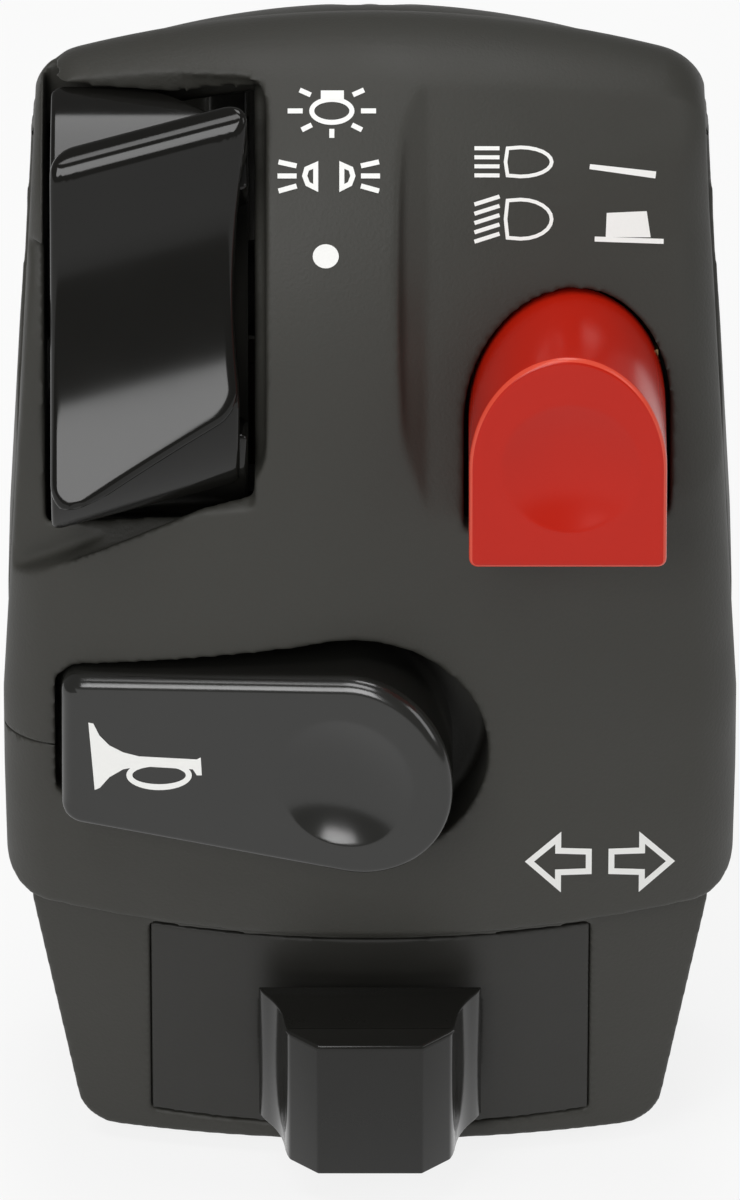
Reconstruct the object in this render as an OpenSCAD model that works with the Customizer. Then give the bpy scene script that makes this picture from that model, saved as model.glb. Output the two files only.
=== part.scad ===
// Left-hand switch cluster for a motorcycle handlebar.
// Origin: centre of the handlebar clamp. X runs along the bar, -Y faces the rider, Z is up.

/* [Handlebar] */
// Diameter of the handlebar that the two shells clamp
bar_d = 22.2; // [22.0:0.1:22.4]

/* [Shells] */
// Greatest width along the bar
shell_w = 46.4; // [46.0:0.1:47.0]
// Wall thickness of the shells
wall = 2.4; // [2.2:0.1:2.5]
// Depth of the lower lip of the front shell below the bar axis
lip_drop = 35.2; // [35.0:0.1:35.6]
// Radius of the brow, the upper part of the front face
brow_r = 28.5; // [28.4:0.1:28.8]
// Radius of the long lower part of the front face
face_r = 120; // [115:1:130]
// Radius of the shoulder between the brow and the top
shoulder_r = 8; // [7.8:0.1:8.4]
// Radius of the crown across the width
crown_r = 65; // [62:1:75]
// Radius of the two rounded side edges
edge_r = 2.8; // [2.4:0.1:3.0]
// Depth of the ledge around the light rocker
ledge_d = 2.2; // [1.8:0.1:2.4]

/* [Light rocker] */
// Radius of the raised ends of the rocker about its pin
rocker_r = 17.7; // [17.2:0.1:17.9]
// Radius of the apron that closes the pocket below the rocker
apron_r = 14.4; // [14.2:0.1:14.6]
// Slant of the ridges across the rocker, in degrees
rocker_slant = 16; // [12:1:18]
// Swing to each side, in degrees
rocker_swing = 10; // [8:1:11]

/* [Dip button] */
// Width of the button
dip_w = 12.3; // [12.0:0.1:12.5]
// Height of the button, arch included
dip_h = 14.3; // [14.0:0.1:14.5]
// How far the button face stands in front of the brow
dip_proud = 5.5; // [5.0:0.1:6.0]
// Travel of the button
dip_travel = 3.5; // [3.0:0.1:3.6]

/* [Horn button] */
// Radius of the round end of the horn button
horn_r = 6.3; // [6.1:0.1:6.5]
// Height of its hinged end
horn_end_h = 9.3; // [9.0:0.1:9.6]
// Swing of the button, in degrees
horn_swing = 5; // [4:0.5:5]

/* [Indicator] */
// Width of the knob at its base
knob_w = 14.2; // [13.8:0.1:14.6]
// Height of the knob along the chin
knob_h = 11.2; // [10.8:0.1:11.6]
// How far the knob stands out of the chin
knob_out = 6.9; // [6.6:0.1:7.2]
// Travel of the knob to each side
slide_travel = 4; // [3.5:0.1:4.2]
// Travel of the knob when pushed in to cancel
push_travel = 0.9; // [0.7:0.1:0.9]

/* [Fits] */
// Gap between a moving part and its surroundings
gap = 0.4; // [0.35:0.05:0.45]
// Radial clearance of a running pin
fit = 0.05; // [0.03:0.01:0.08]

/* [Hidden] */
$fn = 48;

// Shell form
half_w = shell_w / 2;
bar_r = bar_d / 2;
brow_z = 3;
brow_join = 43;
top_a = 118;
mid_z = -19;
top_z = 27;
taper = 0.056;
corner_r = 2.6;
lip_rise = 1.3;
crown_steps = 12;
edge_step = 18;
core_r = brow_r - shoulder_r;
shoulder_y = -core_r * cos(brow_join);
shoulder_z = brow_z + core_r * sin(brow_join);
top_run = -(shoulder_y - shoulder_r * cos(top_a)) / sin(top_a);
rear_r = shoulder_z + shoulder_r * sin(top_a) + top_run * cos(top_a);
rear_a = 188;
rear_run = 53;
far = 40;
thin = 0.4;
overlap = 1;

// Panel beside the raised strip, flatter than the brow
panel_r = 60;
panel_set = 0.1;
panel_y = panel_r + panel_set - brow_r;
panel_z = -7.16;
step_x = 1.7;
step_run = 2;
step_in = 0.5;

// Rocker place
rocker_w = 12.3;
rocker_side = 3.3;
rocker_x0 = rocker_side - half_w;
rocker_x1 = rocker_x0 + rocker_w;
pocket_side = 1.1;
pocket_x = rocker_x1 + pocket_side;
pocket_corner = 4;
pocket_top = 22.9;
pocket_top_r = 1.2;
pocket_z = 1.5;
pocket_slope = 29;
pivot_in = 14.2;
pivot_y = pivot_in - brow_r;
pivot_z = 6.3;
rocker_low_a = -25;
rocker_high_a = 56;
rocker_mid = (rocker_x0 + rocker_x1) / 2;
rim_z = 0.6;
rim_slope = 29;
rim_corner = 2;
skirt_r = 15.6;
skirt_a = -37;
apron_in = 9;
apron_low_a = -62;
crown_low_a = 48;
crown_high_a = 80;
crown_top_r = 16;
core_low_a = -16;
core_out = 12.8;
tail_a = 112;
tail_in = 8.2;
tail_out = 10.8;
swing_gap = 3;
hub_r = 3.2;
pin_r = 1.25;
ear_r = 3;
ear_gap = 0.5;
hub_x0 = rocker_x0 + 3;
hub_x1 = rocker_x1 - 1.9;
hub_low_a = -40;
hub_high_a = 80;
hub_in = 2;
web_x0 = rocker_x1 + 0.8;
web_x1 = web_x0 + 1.9;
web_low = -9;
web_back = -3;
arm_x0 = rocker_x0 + 4.4;
arm_x1 = rocker_x1 - 3.4;
arm_mid = (arm_x0 + arm_x1) / 2;
arm_half = 1.45;
arm_end = 11.5;
ball_r = 1;
ball_at = 11.6;
bore_d = 4.6;
detent_len = 3.7;
detent_t = 2.2;
detent_a = 16;
detent_gap = 0.3;
wiper_t = 0.5;
wiper_end = arm_end - 0.7;
wiper_top = 5;
wiper_reach = 2.6;
board_t = 1.2;
board_end = arm_end - 0.2;
board_top = 4.3;
valley_r = 59.3;
valley_at = 72.7;
valley_a = 16;
dish_r = 9;
dish_d = 0.9;

// Dip button place
dip_side = 10.9;
dip_x = half_w - dip_side;
dip_z = -4;
dip_rise = 7.6;
dip_front = brow_r + dip_proud;
dip_back = dip_front - 11;
dip_floor = dip_back - 6.8;
dip_hole = 0.3;
dip_stem_r = 2.5;
dip_stem_z = 3;
dip_stem_out = 0.8;
dip_post = 4.9;
dip_post_r = 1;
dip_post_out = 2.4;
bridge_t = 0.6;
bridge_x = 5.7;
bridge_z = 3;
guide_t = 1.6;
guide_wall = 1.4;
dip_dish_z = 2.9;

// Horn place
horn_z = -20.9;
horn_side = 3.8;
horn_len = 18.3;
horn_x0 = horn_side - half_w;
horn_cx = horn_x0 + horn_len;
horn_corner = 1;
horn_tilt = 13.3;
horn_face = brow_r - 3.3;
horn_back = horn_face - 2.8;
horn_pin_r = 1;
horn_pin_len = 14.8;
horn_pin_x = horn_x0 + 2.2;
horn_pin_y = horn_pin_r - horn_back;
horn_knuckle = 0.7;
horn_dish_z = -0.6;
horn_spring_x = horn_cx + 1.1;
horn_spring_r = 2.2;
horn_cup_r = 2.9;
horn_cup_d = 2;
horn_post_x = horn_x0 + 12.4;
horn_post_r = 1.5;
well_floor = horn_back - 3;
well_t = 1.5;
well_r = 8.5;
well_up = 0.3;
well_side = 0.7;
well_corner = 1.2;
cheek_side = 0.65;
cheek_w = 1.8;
cheek_out = 1;
post_end = well_floor - 2.8;
tip_t = 0.8;
post_swing = (horn_post_x - horn_pin_x) * sin(horn_swing);
leaf_y = post_end - tip_t - post_swing - gap;
leaf_t = 0.5;
leaf_z = 1.5;
leaf_x0 = -5;
leaf_x1 = 3;
base_back = leaf_y - 3;
base_z = 3;

// Chin place
chin_in = 10.8;
chin_y = chin_in - brow_r;
chin_drop = 18;
chin_bottom = lip_drop + chin_drop;
chin_set = 0.1;
chin_z = -lip_drop - chin_drop / 2 - chin_set;
chin_tilt = 18;
chin_crown = 60;
chin_top = half_w - 1.8;
chin_low = half_w - 4.5;
chin_wall = 2.2;
joint_gap = 0.15;
bezel_side = 9.45;
bezel_w = shell_w - 2 * bezel_side;
bezel_edge = 1.3;
bezel_half = chin_drop / 2 / cos(chin_tilt) - bezel_edge;
bezel_lo = chin_set - bezel_half;
bezel_hi = chin_set + bezel_half;
bezel_back = 3.4;
bezel_sunk = 0.12;
chin_screw_z = 5.7 - lip_drop;
chin_screw_r = 1.25;
chin_boss_r = 2.6;
chin_boss_end = -10;
chin_ear_t = 2;
chin_head_r = 2.3;
chin_head_t = 1.8;
chin_thread = 5.5;
tongue_top = chin_screw_z - chin_boss_r - gap;
tongue_low = -lip_drop - 2.8;
ear_low = -lip_drop - 1.8;
ear_top = chin_screw_z + 3.4;
ear_x0 = bezel_w / 2 + 2 * joint_gap;
ear_x1 = half_w - wall - 1.7;
chin_screw_x = (ear_x0 + ear_x1) / 2;
loom_x = 10;
loom_y = 4.6;
loom_r = 3.6;
loom_bore = 2.4;
loom_flange = 0.9;
loom_flange_t = 1.2;
loom_len = 5.2;
knob_base = -push_travel - gap;
knob_tip = 6.6;
scallop_r = 5;
scallop_d = 0.3;
knob_bevel = 1.3;
knob_draft = 2;
stem_r = 2.5;
stem_end = 6;
slot_x = stem_r + slide_travel + gap;

// Indicator switch behind the bezel, depths counted from the chin face
shutter_y = 4;
shutter_t = 0.9;
shutter_z = 4.4;
body_back = 15.6;
body_wall = 1.3;
body_x = bezel_w / 2 - joint_gap;
body_z = bezel_half - 1.15;
body_in = [body_x - body_wall, body_back - body_wall, body_z - body_wall];
shutter_x = body_in[0] - gap;
carriage_x = 5;
carriage_y = shutter_y + shutter_t;
carriage_back = 10.4;
carriage_z = body_in[2] - gap;
cancel_back = carriage_back - 1;
spring_y = 7.6;
plate_y = body_in[1] - 1.6;
plate_x = body_in[0] - gap;
plate_z = body_in[2] - 0.2;
comb_x = 4;
comb_z = 3;
comb_t = 0.5;
comb_tip = plate_y - gap;

// Clamp screws
screw_r = 1.5;
screw_play = 0.3;
screw_z = bar_r + 2.6;
screw_end = -12;
insert_r = 2.1;
insert_end = -9.5;
boss_r = 3.2;
boss_wall = 1.8;
head_r = 2.75;
head_t = 2.6;
socket_r = 1.4;
socket_d = 1.6;
seat_y = 4.5;
rib_x = 9;

// Draws a YZ outline from x0 to x1
module rail(x0, x1) {
    translate([x0, 0, 0])
        rotate([90, 0, 90])
            linear_extrude(x1 - x0)
                children();
}

// Draws an XZ outline from y0 to y1
module slab(y0, y1) {
    translate([0, y1, 0])
        rotate([90, 0, 0])
            linear_extrude(y1 - y0)
                children();
}

// Cylinder along Y from y0 to y1
module rod_y(r, y0, y1) {
    translate([0, y1, 0])
        rotate([90, 0, 0])
            cylinder(r = r, h = y1 - y0);
}

// Cylinder along X from x0 to x1
module rod_x(r, x0, x1) {
    translate([x0, 0, 0])
        rotate([0, 90, 0])
            cylinder(r = r, h = x1 - x0);
}

// Box between two corners
module block(a, b) {
    translate(a)
        cube(b - a);
}

// Turns a [radius, x] outline about the X axis; 0 degrees faces the rider, 90 is up
module barrel(a0, a1) {
    rotate([0, 90, 0])
        rotate([0, 0, 270 - a1])
            rotate_extrude(angle = a1 - a0)
                children();
}

// Coil spring along Z as one tube
module coil(r, wire, height, turns) {
    sides = 6;
    per = 14;
    steps = turns * per;
    rise = height - 2 * wire;
    points = [for (i = [0:steps]) for (j = [0:sides - 1])
        let (a = i * 360 / per, b = j * 360 / sides, rr = r + wire * cos(b))
            [rr * cos(a), rr * sin(a), wire + rise * i / steps + wire * sin(b)]];
    walls = [for (i = [0:steps - 1]) for (j = [0:sides - 1])
        let (k = (j + 1) % sides)
            [i * sides + j, (i + 1) * sides + j, (i + 1) * sides + k, i * sides + k]];
    ends = [[for (j = [0:sides - 1]) j], [for (j = [sides - 1:-1:0]) steps * sides + j]];
    polyhedron(points, concat(walls, ends));
}

// Fall of the surface from the middle of the crown
function crown_fall(x) = crown_r - sqrt(crown_r * crown_r - x * x);

// Extra fall over the rounded side edge
function edge_fall(x) =
    let (d = abs(x) - half_w + edge_r)
        d > 0 ? edge_r - sqrt(max(0, edge_r * edge_r - d * d)) : 0;

// Stations across the width, closer together over the rounded edges
flat_w = half_w - edge_r;
across = concat(
    [for (t = [90:-edge_step:0]) -flat_w - edge_r * sin(t)],
    [for (i = [1:crown_steps - 1]) -flat_w + i * 2 * flat_w / crown_steps],
    [for (t = [0:edge_step:90]) flat_w + edge_r * sin(t)]);

// Half width of the shells at a height
function half_at(z) = half_w - taper * max(0, z - mid_z);

// Height of the arched lower lip
function lip(x) = -lip_drop + lip_rise * pow(x / half_w, 2);

// Front outline of the shells from the middle of the lip up the right side
lip_x = half_w - corner_r - 0.2;
shell_side = concat(
    [for (i = [0:5]) [i * lip_x / 6, lip(i * lip_x / 6)]],
    [for (t = [0:22.5:90]) [lip_x + corner_r * sin(t), lip(lip_x) + corner_r * (1 - cos(t))]],
    [[half_w, mid_z], [half_at(top_z), top_z]]);

function mirrored(side) = concat(side, [for (i = [len(side) - 1:-1:0]) if (side[i][0] > 0)
    [-side[i][0], side[i][1]]]);

// Crowned form lofted through rows of [centre y, centre z, radius, angle, height at the back].
// Each row runs across the width; the back of the form is the plane y = back.
module loft(rows, inset, back) {
    xs = inset > 0 ? [for (i = [-4:4]) i * half_w / 4] : across;
    n = len(xs) + 2;
    last = len(rows) - 1;
    points = [for (row = rows) each concat(
        [for (x = xs)
            let (r = max(thin, row[2] - inset - crown_fall(x) - (inset > 0 ? 0 : edge_fall(x))))
                [x, row[0] - r * cos(row[3]), row[1] + r * sin(row[3])]],
        [[half_w, back, row[4]], [-half_w, back, row[4]]])];
    skin = [for (j = [0:last - 1]) for (i = [0:n - 4]) for (half = [0, 1])
        half == 0 ? [j * n + i, (j + 1) * n + i, (j + 1) * n + i + 1]
                  : [j * n + i, (j + 1) * n + i + 1, j * n + i + 1]];
    sides = [for (j = [0:last - 1]) for (i = [n - 3:n - 1])
        [j * n + i, (j + 1) * n + i, (j + 1) * n + (i + 1) % n, j * n + (i + 1) % n]];
    caps = [[for (i = [0:n - 1]) i], [for (i = [n - 1:-1:0]) last * n + i]];
    polyhedron(points, concat(skin, sides, caps));
}

// Outer form of the front shell, from below the lip over the brow and shoulder to the top
face_y = face_r - brow_r;
run_back = (overlap - shoulder_y) / sin(top_a);
hood_rows = concat(
    [for (a = [-21:5.25:-1])
        [face_y, brow_z, face_r, a, brow_z + (face_y - overlap) * tan(a)]],
    [for (i = [0:5]) [0, brow_z, brow_r, i * brow_join / 5, brow_z + 0.5 * i]],
    [for (i = [1:5])
        [shoulder_y, shoulder_z, shoulder_r, brow_join + i * (top_a - brow_join) / 5,
            brow_z + 2.5 + 0.3 * i]],
    [[shoulder_y + run_back * sin(top_a), shoulder_z + run_back * cos(top_a), shoulder_r, top_a,
        shoulder_z + run_back * cos(top_a)]]);

module hood(inset) {
    loft(hood_rows, inset, overlap);
}

// Outer form of the rear shell, round the bar and then straight down
rear_end = [rear_run * sin(rear_a), rear_run * cos(rear_a)];
rear_cut = (rear_end[0] + overlap) / cos(rear_a);
rear_rows = concat(
    [[-overlap, 0, rear_r, 90, 0]],
    [for (i = [0:7]) [0, 0, rear_r, 90 + i * (rear_a - 90) / 7, -1 - i]],
    [[rear_end[0], rear_end[1], rear_r, rear_a, rear_end[1] + rear_cut * sin(rear_a)]]);

module rear_form(inset) {
    loft(rear_rows, inset, -overlap);
}

// Space in front of the flatter panel, to the right of the step
module panel_space(inset) {
    first = step_x + step_run;
    stations = [for (i = [0:5]) first + i * (flat_w - step_in - first) / 5];
    edge = [for (t = [edge_step / 2:edge_step:90]) flat_w + edge_r * sin(t)];
    floor_r = panel_r - inset;
    translate([0, panel_y, panel_z])
        barrel(-8, 40)
            polygon(concat(
                [[floor_r + 9, step_x - 3 - inset], [floor_r + 2, step_x - inset],
                    [floor_r + 0.6, step_x + 0.6 - inset]],
                [for (x = concat(stations, edge))
                    [floor_r - crown_fall(x) - edge_fall(x), x == stations[0] ? x - inset : x]],
                [[floor_r - 9, half_w + 5], [floor_r + 9, half_w + 5]]));
}

// Front outline of the ledge around the rocker
module pocket2d(grow) {
    px = pocket_x + grow;
    cr = pocket_corner + grow;
    turn = 90 - pocket_slope;
    end = [px - cr + cr * cos(turn), pocket_z - cr * sin(turn)];
    top = pocket_top + grow;
    tr = pocket_top_r + grow;
    polygon(concat(
        [[-far, top]],
        [for (t = [90:-22.5:0]) [px - tr + tr * cos(t), top - tr + tr * sin(t)]],
        [for (t = [0:turn / 5:turn]) [px - cr + cr * cos(t), pocket_z - cr * sin(t)]],
        [[-far, end[1] - (end[0] + far) * tan(pocket_slope)]]));
}

// Space in front of the ledge around the rocker
module pocket_space(inset) {
    difference() {
        slab(-far, shoulder_y + inset)
            pocket2d(inset);
        hood(ledge_d + inset);
    }
}

// Outline of the horn button, or of its well, round at the right
module horn2d(r, cz, x0, end_h, corner) {
    translate([horn_cx, cz])
        circle(r);
    polygon([[horn_cx, cz + r], [x0 + corner, cz + end_h / 2], [x0, cz + end_h / 2 - corner],
        [x0, cz - end_h / 2 + corner], [x0 + corner, cz - end_h / 2], [horn_cx, cz - r]]);
}

module well2d(grow) {
    horn2d(well_r + grow, horn_z + well_up, horn_x0 - gap - grow,
        horn_end_h + 2 * (well_side + grow), well_corner);
}

// Well of the horn button, without the two cheeks that hold its pin
module horn_well() {
    difference() {
        slab(-far, -well_floor)
            well2d(0);
        for (side = [-1, 1])
            translate([horn_pin_x, horn_pin_y, horn_z + side * (horn_end_h / 2 + cheek_side + well_r / 2)])
                block([-cheek_w, -horn_pin_r - cheek_out, -well_r / 2], [cheek_w, far, well_r / 2]);
    }
}

// Outline of the dip button: straight sides and an arched top
module dip2d(grow) {
    w = dip_w / 2 + grow;
    rise = dip_rise + grow;
    spring = dip_z + dip_h - dip_rise;
    intersection() {
        translate([dip_x, spring])
            scale([1, rise / w])
                circle(w);
        translate([dip_x - 2 * w, dip_z - grow])
            square(4 * w);
    }
    translate([dip_x - w, dip_z - grow])
        square([2 * w, spring - dip_z + grow]);
}

// Inner outline of the front shell, right half, set in from its sides
function cavity_side(inset) = [[0, -far], [half_w - inset, -far], [half_w - inset, mid_z],
    [half_at(top_z) - inset, top_z], [0, top_z]];

// Everything inside the front shell that is hollow
module front_cavity() {
    difference() {
        intersection() {
            union() {
                hood(wall);
                block([-half_w, -8, -far], [half_w, 1, rear_r - 2.8]);
            }
            slab(-far, 2)
                polygon(mirrored(cavity_side(wall)));
        }
        panel_space(wall);
        pocket_space(wall);
    }
}

// Ring sector about the pin of the rocker, as wide as the rocker and its side gaps
module sweep(a0, a1, r0, r1) {
    translate([0, pivot_y, pivot_z])
        barrel(a0, a1)
            translate([r0, rocker_x0 - gap])
                square([r1 - r0, rocker_x1 - rocker_x0 + 2 * gap]);
}

// Slanted ring sector about the pin, cut off at the sides of the pocket
module slanted_sweep(a0, a1, r1) {
    intersection() {
        translate([rocker_mid, pivot_y, pivot_z])
            rotate([0, -rocker_slant, 0])
                barrel(a0, a1)
                    translate([apron_in, -far])
                        square([r1 - apron_in, 2 * far]);
        block([rocker_x0 - gap, -far, -far], [rocker_x1 + gap, 0, far]);
    }
}

// Shell that faces the rider
module front_shell() {
    color("dimgray")
    difference() {
        union() {
            difference() {
                front_form();
                front_cavity();
                sweep(apron_low_a - rocker_swing - 1, crown_low_a, apron_in - gap, apron_r + gap);
                sweep(crown_low_a - rocker_swing - 1, crown_high_a + rocker_swing + 1,
                    apron_in - gap, crown_top_r + gap);
                sweep(crown_low_a, tail_a + rocker_swing + 1, tail_in - gap, tail_out + gap);
                block([rocker_x0 - gap, pivot_y - apron_in, pivot_z - apron_in + 1.5],
                    [rocker_x1 + gap, pivot_y + 1, pivot_z + apron_in + 0.5]);
                slanted_sweep(rocker_low_a - rocker_swing - swing_gap,
                    rocker_high_a + rocker_swing + swing_gap, rocker_r + gap);
                slanted_sweep(skirt_a - rocker_swing - swing_gap, 0, skirt_r + gap);
            }
            intersection() {
                front_form();
                union() {
                    slab(-far, -well_floor + well_t)
                        well2d(well_t);
                    rail(web_x0, web_x1)
                        polygon([[-far, web_low], [-far, top_z], [web_back, top_z], [web_back, web_low]]);
                    for (z = [screw_z, -screw_z])
                        translate([0, 0, z])
                            rod_y(boss_r, -well_floor - 1, 0);
                    for (x = [-1, 1])
                        translate([x * chin_screw_x, 0, chin_screw_z])
                            rod_y(chin_boss_r, -far, chin_boss_end);
                }
            }
            translate([0, pivot_y, pivot_z]) {
                rod_x(ear_r, -half_w + wall - ear_gap, hub_x0 - ear_gap);
                rod_x(ear_r, hub_x1 + ear_gap, web_x0 + ear_gap);
            }
        }
        rod_x(bar_r, -half_w - 1, half_w + 1);
        bar_room();
        panel_space(0);
        pocket_space(0);
        horn_well();
        slab(-far, -dip_floor - guide_t)
            dip2d(dip_hole);
        translate([0, pivot_y, pivot_z])
            rod_x(pin_r + fit, -half_w + wall, web_x1 + overlap);
        translate([horn_pin_x, horn_pin_y, horn_z - horn_pin_len / 2 - gap])
            cylinder(r = horn_pin_r + fit, h = horn_pin_len + 2 * gap);
        translate([horn_post_x, 0, horn_z])
            rod_y(horn_post_r + 2 * gap, -well_floor - overlap, -well_floor + well_t + overlap);
        for (z = [screw_z, -screw_z])
            translate([0, 0, z]) {
                rod_y(insert_r + fit, insert_end - joint_gap, overlap);
                rod_y(screw_r + screw_play, screw_end - overlap, overlap);
            }
        for (x = [-1, 1])
            translate([x * chin_screw_x, 0, chin_screw_z])
                rod_y(chin_screw_r + fit, chin_boss_end - chin_thread - overlap, chin_boss_end + overlap);
    }
}

// Outer form of the front shell
module front_form() {
    intersection() {
        hood(0);
        slab(-far, 0)
            polygon(mirrored(shell_side));
    }
}

// Clearance for the bar between the two side walls
module bar_room() {
    rod_x(bar_r + overlap, -half_at(0) + wall, half_at(0) - wall);
}

// Outline of the shells and the chin together, right half, from the bottom up
chin_slope = (chin_top - chin_low) / (chin_bottom - lip_drop);
function chin_half(z) = chin_low + chin_slope * (z + chin_bottom);
chin_side = concat(
    [for (t = [0:22.5:90])
        [chin_low - corner_r + corner_r * sin(t), -chin_bottom + corner_r * (1 - cos(t))]],
    [[chin_half(-lip_drop), -lip_drop]]);
rear_side = concat(chin_side, [[half_w - 0.3, -lip_drop + 2.5], [half_w, mid_z],
    [half_at(top_z), top_z]]);

// Shell behind the bar
module rear_shell() {
    color("dimgray")
    difference() {
        union() {
            difference() {
                intersection() {
                    rear_form(0);
                    slab(0, far)
                        polygon(mirrored(concat([[0, -chin_bottom]], rear_side)));
                }
                intersection() {
                    rear_form(wall);
                    slab(-1, far)
                        polygon(mirrored([[0, -chin_bottom + wall],
                            [chin_low - wall - 1, -chin_bottom + wall],
                            [chin_top - wall, -lip_drop], [half_w - wall, -lip_drop + 4],
                            [half_w - wall, mid_z], [half_at(top_z) - wall, top_z]]));
                }
            }
            intersection() {
                rear_form(0);
                slab(0, far)
                    polygon(mirrored(concat([[0, -chin_bottom]], rear_side)));
                union() {
                    for (z = [screw_z, -screw_z])
                        translate([0, 0, z])
                            rod_y(head_r + boss_wall, 0, far);
                    for (x = [-rib_x, rib_x])
                        rail(x - wall / 2, x + wall / 2)
                            polygon([[0, mid_z], [far, mid_z], [far, top_z], [0, top_z]]);
                }
            }
        }
        rod_x(bar_r, -half_w - 1, half_w + 1);
        for (z = [screw_z, -screw_z])
            translate([0, 0, z]) {
                rod_y(screw_r + screw_play, -overlap, far);
                rod_y(head_r + screw_play, seat_y, far);
            }
        translate([loom_x, loom_y, -chin_bottom - overlap])
            cylinder(r = loom_r, h = wall + 2 * overlap);
    }
}

// Local frame of the chin: its face is y = 0, outward is -y
module on_chin() {
    translate([0, chin_y, chin_z])
        rotate([chin_tilt, 0, 0])
            children();
}

// Everything behind a crowned surface set into the chin face
module chin_core(inset) {
    on_chin()
        translate([0, chin_crown, -25])
            cylinder(r = chin_crown - inset, h = 50, $fn = 240);
}

// Hollow of the chin, open to the front shell
module chin_cavity() {
    low_x = chin_low - chin_wall - 1;
    high_x = chin_top - chin_wall - 1.5;
    intersection() {
        chin_core(chin_wall + 0.5);
        slab(-far, 1)
            polygon(mirrored([[0, -chin_bottom + chin_wall], [low_x, -chin_bottom + chin_wall],
                [high_x, -lip_drop], [high_x, ear_top + 1], [0, ear_top + 1]]));
    }
}

// Two ears of the chin that its screws draw against the bosses of the front shell
module chin_ears() {
    for (x0 = [-ear_x1, ear_x0])
        block([x0, chin_boss_end, ear_low], [x0 + ear_x1 - ear_x0, chin_boss_end + chin_ear_t, ear_top]);
}

// Chin below the front shell, carries the indicator switch
module chin_housing() {
    outline = concat([[0, -chin_bottom]], chin_side,
        [for (i = [6:-1:0]) [i * chin_top / 6, lip(i * chin_top / 6) - joint_gap]]);
    tongue_x = half_w - wall - gap;
    color("dimgray")
    difference() {
        union() {
            difference() {
                union() {
                    intersection() {
                        chin_core(0);
                        slab(-far, 0)
                            polygon(mirrored(outline));
                    }
                    intersection() {
                        hood(wall + joint_gap);
                        chin_core(0.5);
                        block([-tongue_x, -far, tongue_low], [tongue_x, 0, tongue_top]);
                    }
                }
                chin_cavity();
            }
            chin_ears();
        }
        on_chin() {
            block([-bezel_w / 2 - joint_gap, -far, bezel_lo - joint_gap],
                [bezel_w / 2 + joint_gap, body_back, bezel_hi + joint_gap]);
            block([-shutter_x - slide_travel - gap, shutter_y - gap, -shutter_z - gap],
                [shutter_x + slide_travel + gap, carriage_y + gap, shutter_z + gap]);
        }
        for (x = [-1, 1])
            translate([x * chin_screw_x, 0, chin_screw_z])
                rod_y(chin_screw_r + screw_play, chin_boss_end - overlap, chin_boss_end + chin_ear_t + overlap);
    }
}

// Inset panel that the knob slides over
module indicator_bezel() {
    color("black")
    difference() {
        intersection() {
            chin_core(bezel_sunk);
            on_chin()
                block([-bezel_w / 2, -overlap, bezel_lo], [bezel_w / 2, bezel_back, bezel_hi]);
        }
        on_chin()
            block([-slot_x, -2 * overlap, -stem_r - gap], [slot_x, bezel_back + overlap, stem_r + gap]);
    }
}

// Two screws that draw the shells together on the bar
module clamp_screws() {
    color("silver")
    for (z = [screw_z, -screw_z])
        translate([0, 0, z])
            difference() {
                union() {
                    rod_y(screw_r, screw_end, seat_y + overlap);
                    rod_y(head_r, seat_y, seat_y + head_t);
                }
                translate([0, seat_y + head_t + overlap, 0])
                    rotate([90, 0, 0])
                        cylinder(r = socket_r, h = socket_d + overlap, $fn = 6);
            }
}

// Threaded brass inserts in the bosses of the front shell
module clamp_inserts() {
    color("goldenrod")
    for (z = [screw_z, -screw_z])
        translate([0, 0, z])
            difference() {
                rod_y(insert_r, insert_end, -joint_gap);
                rod_y(screw_r + fit, insert_end - overlap, overlap);
            }
}

// Two screws that hold the chin to the front shell
module chin_screws() {
    head_y = chin_boss_end + chin_ear_t;
    slot = 0.7;
    color("silver")
    for (x = [-1, 1])
        translate([x * chin_screw_x, 0, chin_screw_z])
            difference() {
                union() {
                    rod_y(chin_screw_r, chin_boss_end - chin_thread, head_y + overlap);
                    rod_y(chin_head_r, head_y, head_y + chin_head_t);
                }
                for (turn = [0, 90])
                    rotate([0, turn, 0])
                        block([-slot / 2, head_y + chin_head_t / 2, -far], [slot / 2, 0, far]);
            }
}

// Rubber inlet for the loom, in the floor of the rear shell
module loom_grommet() {
    color("black")
    translate([loom_x, loom_y, -chin_bottom])
        difference() {
            union() {
                translate([0, 0, -loom_flange_t])
                    cylinder(r = loom_r + loom_flange, h = loom_flange_t);
                translate([0, 0, -loom_flange_t / 2])
                    cylinder(r = loom_r - fit, h = loom_len - loom_flange_t / 2);
            }
            translate([0, 0, -loom_flange_t - overlap])
                cylinder(r = loom_bore, h = loom_len + 2 * overlap);
        }
}

// Ring sector outline in YZ about the origin
module sector2d(a0, a1, r0, r1) {
    n = ceil((a1 - a0) / 4);
    polygon(concat(
        [for (i = [0:n]) let (a = a0 + i * (a1 - a0) / n) [-r1 * cos(a), r1 * sin(a)]],
        [for (i = [n:-1:0]) let (a = a0 + i * (a1 - a0) / n) [-r0 * cos(a), r0 * sin(a)]]));
}

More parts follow.
